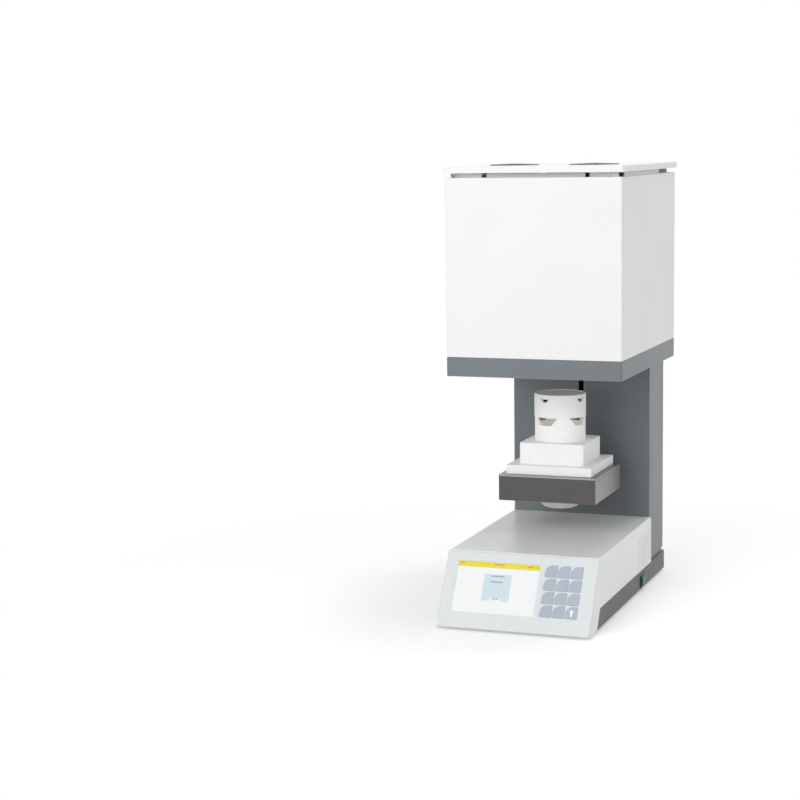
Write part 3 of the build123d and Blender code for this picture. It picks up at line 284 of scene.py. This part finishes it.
metals = {
    "zinc_steel": {"colour": (0.60, 0.61, 0.63), "colourAway": (0.52, 0.53, 0.55), "rough": 0.42,
                   "stretch": (150.0, 150.0, 150.0)},
    "machined_aluminium": {"colour": (0.78, 0.78, 0.79), "colourAway": (0.70, 0.70, 0.72), "rough": 0.34,
                           "stretch": (40.0, 1500.0, 1500.0)},
    "ground_steel": {"colour": (0.66, 0.67, 0.68), "colourAway": (0.58, 0.59, 0.60), "rough": 0.18,
                     "stretch": (60.0, 60.0, 1600.0)},
    "bronze": {"colour": (0.70, 0.47, 0.22), "colourAway": (0.60, 0.39, 0.17), "rough": 0.30,
               "stretch": (60.0, 60.0, 1500.0)},
    "stainless": {"colour": (0.33, 0.33, 0.325), "colourAway": (0.28, 0.28, 0.275), "rough": 0.40,
                  "stretch": (25.0, 25.0, 1900.0)},
    "core_steel": {"colour": (0.16, 0.15, 0.15), "colourAway": (0.10, 0.10, 0.11), "rough": 0.5,
                   "stretch": (20.0, 1400.0, 20.0), "metal": 0.6},
}
ceramics = {
    "fibre_board": {"colour": (0.94, 0.938, 0.935), "colourAway": (0.915, 0.912, 0.908), "rough": 0.92,
                    "pore": 320.0, "cloud": 22.0, "pitShadeShare": 0.08, "pitShadeColour": (0.74, 0.73, 0.71),
                    "bump": 0.5, "depth": 0.0004},
    "tray_ceramic": {"colour": (0.95, 0.945, 0.935), "colourAway": (0.935, 0.928, 0.915), "rough": 0.68,
                     "pore": 700.0, "cloud": 30.0, "pitShadeShare": 0.05, "pitShadeColour": (0.72, 0.69, 0.64),
                     "bump": 0.3, "depth": 0.0001},
    # The lower tray gets a faint glow of its own colour that lightens it, its shaded inside most: painted
    # light.
    "painted_glow_tray": {"colour": (0.84, 0.832, 0.815), "colourAway": (0.825, 0.815, 0.795), "rough": 0.68,
                 "pore": 700.0, "cloud": 30.0, "pitShadeShare": 0.05, "pitShadeColour": (0.72, 0.69, 0.64),
                 "bump": 0.3, "depth": 0.0001, "glow": 0.13},
    "element_ceramic": {"colour": (0.13, 0.12, 0.115), "colourAway": (0.19, 0.175, 0.16), "rough": 0.42,
                        "pore": 500.0, "cloud": 60.0, "pitShadeShare": 0.2, "pitShadeColour": (0.08, 0.07, 0.07),
                        "bump": 0.3, "depth": 0.0001},
}
plastics = {
    "display_body": {"colour": (0.05, 0.05, 0.055), "colourAway": (0.04, 0.04, 0.045), "rough": 0.45,
                     "grain": 1200.0},
    "display_glass": {"colour": (0.90, 0.92, 0.92), "colourAway": (0.88, 0.90, 0.905), "rough": 0.30,
                      "grain": 1200.0, "coat": 0.6},
    "key_blue_grey": {"colour": (0.418, 0.478, 0.545), "colourAway": (0.405, 0.464, 0.530), "rough": 0.5,
                      "grain": 1400.0, "bump": 0.3},
    "black_plastic": {"colour": (0.022, 0.022, 0.023), "colourAway": (0.030, 0.030, 0.031), "rough": 0.38,
                      "grain": 1300.0},
    "green_plastic": {"colour": (0.030, 0.26, 0.080), "colourAway": (0.036, 0.30, 0.095), "rough": 0.40,
                      "grain": 1300.0, "gloss": 0.25, "glow": 0.06},
    "rubber_black": {"colour": (0.025, 0.025, 0.026), "colourAway": (0.035, 0.035, 0.036), "rough": 0.75,
                     "grain": 900.0, "bump": 0.4},
    "circuit_board": {"colour": (0.025, 0.16, 0.075), "colourAway": (0.02, 0.12, 0.055), "rough": 0.35,
                      "grain": 600.0, "coat": 0.3},
}


# The front panel: a cool white foil with a bluer field round the keys

panelPlace = {"slope": 31.2, "footY": -0.3135, "footZ": 0.006}
panelLook = {
    "colour": (0.705, 0.742, 0.750), "colourAway": (0.694, 0.732, 0.742),
    "fieldColour": (0.678, 0.722, 0.762), "fieldX": (0.0445, 0.1215), "fieldRise": (0.0300, 0.1350),
    "fieldSoft": 0.0006, "rough": 0.34, "vary": (-0.03, 0.04), "grain": 1100.0, "blotch": 9.0,
    "bump": 0.15, "depth": 0.00003,
}


def onPanel(x, rise, proud):  # across, up the slope from its foot, and out from its face
    slope = radians(panelPlace["slope"])
    y = panelPlace["footY"] + rise * sin(slope) - proud * cos(slope)
    return Vector((x, y, panelPlace["footZ"] + rise * cos(slope) + proud * sin(slope)))


def bandMask(tree, value, low, high, soft):  # 1 between low and high, 0 outside
    rise = spread(tree, value, low - soft, low + soft)
    fall = spread(tree, value, high + soft, high - soft)
    return maths(tree, "MULTIPLY", rise, fall)


def panelFinish(look):
    material, tree, shader = startMaterial("panelWhite")
    coat = place(tree, coatGrain, grain=look["grain"], blotch=look["blotch"])
    spot = addNode(tree, "ShaderNodeTexCoord").outputs["Object"]
    axes = addNode(tree, "ShaderNodeSeparateXYZ", {}, {"Vector": spot}).outputs
    aboveFoot = maths(tree, "SUBTRACT", axes["Z"], panelPlace["footZ"])
    upSlope = maths(tree, "MULTIPLY", aboveFoot, 1 / cos(radians(panelPlace["slope"])))
    across = bandMask(tree, axes["X"], *look["fieldX"], look["fieldSoft"])
    along = bandMask(tree, upSlope, *look["fieldRise"], look["fieldSoft"])
    field = maths(tree, "MULTIPLY", across, along)
    shade = mixColours(tree, coat["mottle"], look["colour"], look["colourAway"])
    tree.links.new(mixColours(tree, field, shade, look["fieldColour"]), shader.inputs["Base Color"])
    setRough(tree, shader, coat["mottle"], look)
    setBump(tree, shader, coat["height"], look)
    return material


finishes = {name: paintedFinish(name, look) for name, look in paints.items()}
finishes.update({name: metalFinish(name, look) for name, look in metals.items()})
finishes.update({name: ceramicFinish(name, look) for name, look in ceramics.items()})
finishes.update({name: plasticFinish(name, look) for name, look in plastics.items()})
finishes["panel_white"] = panelFinish(panelLook)


def dressNodes():
    for part in frame["record"]["subparts"]:
        mesh = frame["nodes"][part["node"]].data
        for index in range(len(mesh.materials)):
            mesh.materials[index] = finishes[part["material_slot"]]
        if not mesh.materials:
            mesh.materials.append(finishes[part["material_slot"]])


dressNodes()
print("finishes set")


# Helpers for pieces

def link(item):
    bpy.context.scene.collection.objects.link(item)
    return item


def meshFrom(shape, name):
    mesh = bpy.data.meshes.new(name)
    shape.to_mesh(mesh)
    shape.free()
    return mesh


def addPiece(name, mesh, material, body):
    mesh.materials.clear()
    mesh.materials.append(material)
    piece = link(bpy.data.objects.new(name, mesh))
    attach(piece, body)
    return piece


# Pieces that lie on the panel

def roundedBox(left, right, foot, top, radius, steps=5):
    outline = []
    corners = ((right, top, 0), (left, top, 1), (left, foot, 2), (right, foot, 3))
    for x, rise, quarter in corners:
        midX = x - radius if x == right else x + radius
        midRise = rise - radius if rise == top else rise + radius
        for step in range(steps + 1):
            angle = (quarter + step / steps) * pi / 2
            outline.append((midX + radius * cos(angle), midRise + radius * sin(angle)))
    return outline


def panelSlabs(outlines, low, high):
    shape = bmesh.new()
    for outline in outlines:
        lower = [shape.verts.new(onPanel(x, rise, low)) for x, rise in outline]
        upper = [shape.verts.new(onPanel(x, rise, high)) for x, rise in outline]
        shape.faces.new(lower[::-1])
        shape.faces.new(upper)
        for i in range(len(outline)):
            j = (i + 1) % len(outline)
            shape.faces.new((lower[i], lower[j], upper[j], upper[i]))
    bmesh.ops.recalc_face_normals(shape, faces=shape.faces)
    return meshFrom(shape, "panelSlabs")


screen = {
    "glassDepth": 0.0012, "layer": 0.00006, "inset": 0.0002,
    "level": {"sheet": 0, "header": 1, "box": 1, "pill": 2, "bar": 3, "headerBar": 2},
    "window": (-0.124, 0.037, 0.0315, 0.1325), "windowCorner": 0.0008, "headerFoot": 0.1215,
    "box": (-0.069, -0.0155, 0.0567, 0.1090), "boxCorner": 0.0012,
    "pill": (-0.0520, -0.0320, 0.0572, 0.0632),
    "bars": ((-0.0560, -0.0300, 0.1043), (-0.0570, -0.0320, 0.0931), (-0.0490, -0.0350, 0.0600)),
    "headerBars": ((-0.1205, -0.1120, 0.1275), (-0.0535, -0.0330, 0.1270), (0.0120, 0.0250, 0.1262),
                   (0.0295, 0.0335, 0.1268)),
    "barHeight": 0.0021, "headerBarHeight": 0.0024, "barCorner": 0.0004,
}
screenFilm = {"rough": 0.28, "grain": 1500.0, "bump": 0.05}
screenTones = {
    "sheet": {"colour": (0.90, 0.915, 0.925), "colourAway": (0.89, 0.905, 0.915), "gloss": 0.2},
    "header": {"colour": (0.85, 0.70, 0.065), "colourAway": (0.835, 0.685, 0.06), "gloss": 0.2},
    "box": {"colour": (0.635, 0.765, 0.81), "colourAway": (0.625, 0.755, 0.80), "gloss": 0.2},
    "pill": {"colour": (0.93, 0.94, 0.945), "colourAway": (0.92, 0.93, 0.935), "gloss": 0.2},
    "bar": {"colour": (0.29, 0.34, 0.36), "colourAway": (0.27, 0.32, 0.34)},
    "headerBar": {"colour": (0.50, 0.38, 0.06), "colourAway": (0.48, 0.36, 0.05)},
}


def screenBars(bars, height):
    return [roundedBox(left, right, foot, foot + height, screen["barCorner"]) for left, right, foot in bars]


def screenPieces():
    left, right, foot, top = screen["window"]
    inset, corner = screen["inset"], screen["windowCorner"]
    layers = {
        "sheet": [roundedBox(left + inset, right - inset, foot + inset, top - inset, corner)],
        "header": [roundedBox(left + inset, right - inset, screen["headerFoot"], top - inset, corner)],
        "box": [roundedBox(*screen["box"], screen["boxCorner"])],
        "pill": [roundedBox(*screen["pill"], screen["boxCorner"])],
        "bar": screenBars(screen["bars"], screen["barHeight"]),
        "headerBar": screenBars(screen["headerBars"], screen["headerBarHeight"]),
    }
    for name, outlines in layers.items():
        pieceName = "screen" + name.capitalize()
        low = screen["level"][name] * screen["layer"] - screen["glassDepth"]
        mesh = panelSlabs(outlines, low, low + screen["layer"])
        finish = plasticFinish(pieceName, screenFilm | screenTones[name])
        addPiece(pieceName, mesh, finish, "root")


arrow = {"x": 0.1084, "rise": 0.0440, "headWidth": 0.0090, "headHeight": 0.0052, "stemWidth": 0.0034,
         "height": 0.0128, "keyProud": 0.0006, "thickness": 0.00008}
arrowTone = {"colour": (0.96, 0.97, 0.98), "colourAway": (0.95, 0.96, 0.97), "rough": 0.45, "grain": 1400.0}


def keySign():
    x, foot = arrow["x"], arrow["rise"] - arrow["height"] / 2
    neck = foot + arrow["height"] - arrow["headHeight"]
    stem, head = arrow["stemWidth"] / 2, arrow["headWidth"] / 2
    outline = [(x - stem, foot), (x + stem, foot), (x + stem, neck), (x + head, neck),
               (x, foot + arrow["height"]), (x - head, neck), (x - stem, neck)]
    mesh = panelSlabs([outline], arrow["keyProud"], arrow["keyProud"] + arrow["thickness"])
    finish = plasticFinish("arrowWhite", arrowTone)
    addPiece("keyArrow", mesh, finish, "key_row4_column3_body")


screenPieces()
keySign()
print("display and sign made")


# Firing trays: round walls whose rim dips in notches, in degrees from straight ahead

trayBody = {"wall": 0.0045, "floor": 0.005, "turn": -21.5, "notches": 4, "step": 2, "nearBend": 0.3,
            "sharpAngle": 30.0}
trays = {
    "lowerTray": {"node": "lower_tray", "body": "lower_tray_body", "finish": "painted_glow_tray",
                  "halfTop": 31.0, "halfFoot": 16.5, "depth": 0.0155},
    "upperTray": {"node": "upper_tray", "body": "upper_tray_body", "finish": "tray_ceramic",
                  "halfTop": 14.0, "halfFoot": 3.5, "depth": 0.0085},
}
notchPitch = 360.0 / trayBody["notches"]


def rimDip(look, angle):
    off = abs((angle - trayBody["turn"] + notchPitch / 2) % notchPitch - notchPitch / 2)
    share = (look["halfTop"] - off) / (look["halfTop"] - look["halfFoot"])
    return look["depth"] * min(1.0, max(0.0, share))


def trayAngles(look):  # every bend of the rim, and regular steps that don't crowd one
    bends = [trayBody["turn"] + notchPitch * notch + side * look[half]
             for notch in range(trayBody["notches"]) for side in (-1, 1) for half in ("halfTop", "halfFoot")]
    regular = [angle for angle in range(0, 360, trayBody["step"])
               if min(abs((angle - bend + 180) % 360 - 180) for bend in bends) > trayBody["nearBend"]]
    return sorted({bend % 360.0 for bend in bends} | set(regular))


def trayMesh(look):
    low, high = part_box(look["node"])
    middle = Vector(((low[0] + high[0]) / 2, (low[1] + high[1]) / 2, 0.0))
    outer = (high[0] - low[0]) / 2
    inner = outer - trayBody["wall"]
    shape = bmesh.new()
    rings = [[], [], [], []]
    for angle in trayAngles(look):
        away = Vector((sin(radians(angle)), -cos(radians(angle)), 0.0))
        rim = high[2] - rimDip(look, angle)
        points = ((outer, low[2]), (outer, rim), (inner, rim), (inner, low[2] + trayBody["floor"]))
        for ring, (reach, z) in zip(rings, points):
            ring.append(shape.verts.new(middle + away * reach + Vector((0.0, 0.0, z))))
    count = len(rings[0])
    for lower, upper in zip(rings, rings[1:]):
        for i in range(count):
            j = (i + 1) % count
            shape.faces.new((lower[i], lower[j], upper[j], upper[i]))
    shape.faces.new(rings[0])
    shape.faces.new(rings[3])
    bmesh.ops.recalc_face_normals(shape, faces=shape.faces)
    for face in shape.faces:
        face.smooth = True
    mesh = meshFrom(shape, "tray")
    mesh.set_sharp_from_angle(angle=radians(trayBody["sharpAngle"]))
    return mesh


def trayPieces():
    for name, look in trays.items():
        piece = addPiece(name, trayMesh(look), finishes[look["finish"]], look["body"])
        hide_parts(look["node"])


# Plain pieces from boxes: the table's dark front plate, a painted reflection, and rails and blocks in the
# air gap

def boxesMesh(limits):
    shape = bmesh.new()
    for low, high in limits:
        made = bmesh.ops.create_cube(shape, size=1.0)["verts"]
        bmesh.ops.scale(shape, vec=[b - a for a, b in zip(low, high)], verts=made)
        bmesh.ops.translate(shape, vec=[(a + b) / 2 for a, b in zip(low, high)], verts=made)
    return meshFrom(shape, "boxes")


tableFront = {"edge": 0.0007, "proud": 0.0003, "sunk": 0.0012, "rimDrop": 0.0028}


# A dark plate over the table's steel front stands in for the dark reflection it shows: a painted reflection.
def tableFrontPlate():
    low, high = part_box("table_pan")
    edge = tableFront["edge"]
    plate = ((low[0] + edge, low[1] - tableFront["proud"], low[2] + edge),
             (high[0] - edge, low[1] + tableFront["sunk"], high[2] - tableFront["rimDrop"]))
    piece = addPiece("tableFront", boxesMesh([plate]), finishes["fascia_grey"], "lift")
    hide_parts("table_fascia")


airGap = {"railSetback": 0.023, "sideSetback": 0.008, "sheet": 0.002, "shadow": 0.0011,
          "frontRails": ((-0.162, -0.146), (-0.096, 0.096), (0.146, 0.160)),
          "leftRail": (0.010, 0.434), "rightRail": (0.050, 0.330), "blockNear": 0.105, "blockFar": 0.146,
          "blockSetback": 0.021, "blockDepth": 0.039}


def gapRails():
    low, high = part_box("head_casing")
    foot, top = high[2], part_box("lid_plate")[0][2] - airGap["shadow"]
    sheet, setback = airGap["sheet"], airGap["railSetback"]
    rails = []
    for left, right in airGap["frontRails"]:
        for y in (low[1] + setback, high[1] - setback - sheet):
            rails.append(((left, y, foot), (right, y + sheet, top)))
    for side, key in ((low[0] + airGap["sideSetback"], "leftRail"),
                      (high[0] - airGap["sideSetback"] - sheet, "rightRail")):
        near, far = airGap[key]
        rails.append(((side, low[1] + near, foot), (side + sheet, low[1] + far, top)))
    piece = addPiece("lidRails", boxesMesh(rails), finishes["light_grey_coat"], "root")
    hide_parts("vent_neck")


def gapBlocks():
    low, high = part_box("head_casing")
    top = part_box("lid_spacers")[1][2]
    setback, depth = airGap["blockSetback"], airGap["blockDepth"]
    blocks = []
    for side in (-1, 1):
        left, right = sorted((side * airGap["blockNear"], side * airGap["blockFar"]))
        for y in (low[1] + setback, high[1] - setback - depth):
            blocks.append(((left, y, high[2]), (right, y + depth, top)))
    finish = finishes["white_powder_coat"]
    piece = addPiece("lidBlocks", boxesMesh(blocks), finish, "root")
    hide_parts("lid_spacers")


trayPieces()
tableFrontPlate()
gapRails()
gapBlocks()
print("trays, front plate and air gap made")


# Screws, set out in rows by geometry nodes

screwLook = {"radius": 0.0031, "height": 0.0019, "socket": 0.0013, "sides": 18, "crown": 0.72,
             "shoulder": 0.5, "socketFloor": 0.4, "facing": (-90.0, 0.0, 0.0)}
# Each set lies on the back of a face, in from its node's sides and up from its foot. An upright set
# has a row up each side, and any other has a row across at each height
screwSets = {
    "rearCoverScrews": {"node": "column_rear_cover", "face": "column_rear_cover", "upright": True,
                        "side": 0.012, "up": (0.024, 0.374), "count": 4},
    "casingBackScrews": {"node": "head_casing", "face": "head_casing", "upright": False,
                         "side": 0.012, "up": (0.0092, 0.3292), "count": 5},
    "fanScrews": {"node": "fan_frame", "face": "column_rear_cover", "upright": True,
                  "side": 0.00425, "up": (0.00425, 0.07575), "count": 2},
    "inletScrews": {"node": "mains_inlet", "face": "mains_inlet", "upright": False,
                    "side": 0.0055, "up": (0.0125,), "count": 2},
}


def screwHead():
    sides = screwLook["sides"]
    radius, height, socket = screwLook["radius"], screwLook["height"], screwLook["socket"]
    rings = [("hex", socket, height * screwLook["socketFloor"]), ("hex", socket, height),
             ("round", radius * screwLook["crown"], height),
             ("round", radius, height * screwLook["shoulder"]), ("round", radius, 0.0)]
    shape = bmesh.new()
    made = []
    for kind, reach, z in rings:
        ring = []
        for i in range(sides):
            angle = 2 * pi * i / sides
            bend = (angle + pi / 6) % (pi / 3) - pi / 6
            r = reach / cos(bend) * cos(pi / 6) if kind == "hex" else reach
            ring.append(shape.verts.new((r * cos(angle), r * sin(angle), z)))
        made.append(ring)
    for inner, outer in zip(made, made[1:]):
        for i in range(sides):
            j = (i + 1) % sides
            shape.faces.new((inner[i], outer[i], outer[j], inner[j]))
    shape.faces.new(made[0])
    shape.faces.new(made[-1][::-1])
    bmesh.ops.recalc_face_normals(shape, faces=shape.faces)
    return link(bpy.data.objects.new("screwHead", meshFrom(shape, "screwHead")))


def screwTree(head, material):
    tree = bpy.data.node_groups.new("screwRow", "GeometryNodeTree")
    sockets = {}
    for label, kind in (("start", "NodeSocketVector"), ("end", "NodeSocketVector"),
                        ("count", "NodeSocketInt"), ("facing", "NodeSocketRotation")):
        sockets[label] = tree.interface.new_socket(name=label, in_out="INPUT", socket_type=kind).identifier
    tree.interface.new_socket(name="Geometry", in_out="OUTPUT", socket_type="NodeSocketGeometry")
    given = tree.nodes.new("NodeGroupInput").outputs
    line = addNode(tree, "GeometryNodeMeshLine", {"mode": "END_POINTS"},
                   {"Count": given["count"], "Start Location": given["start"], "Offset": given["end"]})
    shape = addNode(tree, "GeometryNodeObjectInfo", {}, {"Object": head}).outputs["Geometry"]
    spots = addNode(tree, "GeometryNodeInstanceOnPoints", {},
                    {"Points": line.outputs[0], "Instance": shape, "Rotation": given["facing"]})
    solid = addNode(tree, "GeometryNodeRealizeInstances", {}, {"Geometry": spots.outputs[0]})
    inputs = {"Geometry": solid.outputs[0], "Material": material}
    dressed = addNode(tree, "GeometryNodeSetMaterial", {}, inputs)
    out = tree.nodes.new("NodeGroupOutput")
    tree.links.new(dressed.outputs[0], out.inputs[0])
    return tree, sockets


def bakeTree(name, tree, values):  # a plain mesh of what the tree makes
    holder = link(bpy.data.objects.new(name + "Maker", bpy.data.meshes.new(name)))
    modifier = holder.modifiers.new("rows", "NODES")
    modifier.node_group = tree
    for identifier, value in values.items():
        modifier[identifier] = value
    graph = bpy.context.evaluated_depsgraph_get()
    mesh = bpy.data.meshes.new_from_object(holder.evaluated_get(graph))
    bpy.data.objects.remove(holder)
    return mesh


def joinMeshes(meshes):
    shape = bmesh.new()
    for mesh in meshes:
        shape.from_mesh(mesh)
    return meshFrom(shape, "joined")


def screwLines(look):
    low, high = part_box(look["node"])
    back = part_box(look["face"])[1][1]
    left, right = low[0] + look["side"], high[0] - look["side"]
    heights = [low[2] + up for up in look["up"]]
    if look["upright"]:
        return [((x, back, heights[0]), (x, back, heights[-1])) for x in (left, right)]
    return [((left, back, z), (right, back, z)) for z in heights]


def screws():
    head = screwHead()
    tree, sockets = screwTree(head, finishes["zinc_steel"])
    facing = tuple(radians(angle) for angle in screwLook["facing"])
    for name, look in screwSets.items():
        meshes = []
        for start, end in screwLines(look):
            values = {sockets["start"]: start, sockets["end"]: end, sockets["count"]: look["count"],
                      sockets["facing"]: facing}
            meshes.append(bakeTree(name, tree, values))
        addPiece(name, joinMeshes(meshes), finishes["zinc_steel"], "root")
    bpy.data.objects.remove(head)


screws()
print("screws made")


# Stage, lamps and camera

studio = {
    "light": 0.49, "floorRadius": 7.0, "floorSides": 96, "fadeFrom": 0.45, "fadeTo": 1.1,
    "floorShade": 0.72, "floorGlow": 0.38, "hiddenShade": 0.8,
    "lamps": {
        "keyLamp": {"place": (-1.0, -3.6, 1.75), "aim": (0.0, 0.0, 0.45), "size": 2.4, "power": 72.0},
        "sideLamp": {"place": (3.2, -0.6, 1.7), "aim": (0.0, 0.0, 0.45), "size": 1.6, "power": 17.0},
        "topLamp": {"place": (0.35, 0.75, 3.2), "aim": (0.0, 0.0, 0.4), "size": 0.9, "power": 26.0},
    },
}
# The photograph's viewpoint in metres and degrees, with its lens in millimetres
photoView = {"place": (1.027778, -3.609048, 0.910693), "yaw": 20.636, "pitch": -7.754, "roll": -0.813,
             "lens": 86.13}


def showMask(tree):  # 1 for what the camera, mirrors and glass see, 0 for the light on the object
    path = addNode(tree, "ShaderNodeLightPath").outputs
    seen = maths(tree, "MAXIMUM", path["Is Camera Ray"], path["Is Glossy Ray"])
    return maths(tree, "MAXIMUM", seen, path["Is Transmission Ray"])


def makeWorld():
    world = bpy.data.worlds.new("studio")
    bpy.context.scene.world = world
    world.use_nodes = True
    tree = world.node_tree
    glow = tree.nodes["Background"]
    glow.inputs["Color"].default_value = (1, 1, 1, 1)
    strength = spread(tree, showMask(tree), 0.0, 1.0, studio["light"], 1.0)
    tree.links.new(strength, glow.inputs["Strength"])


def makeFloor():
    shape = bmesh.new()
    sides = studio["floorSides"]
    bmesh.ops.create_circle(shape, cap_ends=True, radius=studio["floorRadius"], segments=sides)
    mesh = meshFrom(shape, "floor")
    floor = link(bpy.data.objects.new("floor", mesh))
    material, tree, shader = startMaterial("paleFloor")
    tree.nodes.remove(shader)
    spot = addNode(tree, "ShaderNodeTexCoord").outputs["Object"]
    reach = addNode(tree, "ShaderNodeVectorMath", {"operation": "LENGTH"}, {0: spot}).outputs["Value"]
    far = spread(tree, reach, studio["fadeFrom"], studio["fadeTo"])
    seenDiffuse = addNode(tree, "ShaderNodeBsdfDiffuse", {}, {"Color": (studio["floorShade"],) * 3 + (1,)})
    seenGlow = addNode(tree, "ShaderNodeEmission", {}, {"Strength": studio["floorGlow"]})
    near = addNode(tree, "ShaderNodeAddShader", {}, {0: seenDiffuse.outputs[0], 1: seenGlow.outputs[0]})
    white = addNode(tree, "ShaderNodeEmission", {}, {"Strength": 1.0})
    seen = addNode(tree, "ShaderNodeMixShader", {}, {0: far, 1: near.outputs[0], 2: white.outputs[0]})
    plain = addNode(tree, "ShaderNodeBsdfDiffuse", {}, {"Color": (studio["hiddenShade"],) * 3 + (1,)})
    whole = addNode(tree, "ShaderNodeMixShader", {}, {0: showMask(tree), 1: plain.outputs[0],
                                                      2: seen.outputs[0]})
    tree.links.new(whole.outputs[0], tree.nodes["Material Output"].inputs["Surface"])
    mesh.materials.append(material)


def makeLamps():
    for name, lamp in studio["lamps"].items():
        data = bpy.data.lights.new(name, "AREA")
        data.size = lamp["size"]
        data.energy = lamp["power"]
        light = link(bpy.data.objects.new(name, data))
        light.location = lamp["place"]
        aim = Vector(lamp["aim"]) - Vector(lamp["place"])
        light.rotation_euler = aim.to_track_quat("-Z", "Y").to_euler()


def makeCamera():
    yaw, pitch, roll = (radians(photoView[key]) for key in ("yaw", "pitch", "roll"))
    ahead = Vector((-sin(yaw) * cos(pitch), cos(yaw) * cos(pitch), sin(pitch)))
    right = Vector((cos(yaw), sin(yaw), 0.0))
    up = right.cross(ahead)
    tilted = cos(roll) * right + sin(roll) * up
    upright = cos(roll) * up - sin(roll) * right
    data = bpy.data.cameras.new("photoCamera")
    data.lens = photoView["lens"]
    camera = link(bpy.data.objects.new("photoCamera", data))
    turn = Matrix((tilted, upright, -ahead)).transposed().to_4x4()
    camera.matrix_world = Matrix.Translation(photoView["place"]) @ turn
    bpy.context.scene.camera = camera


makeWorld()
makeFloor()
makeLamps()
makeCamera()
bpy.context.scene.view_settings.view_transform = "Standard"
print("stage, lamps and camera set")
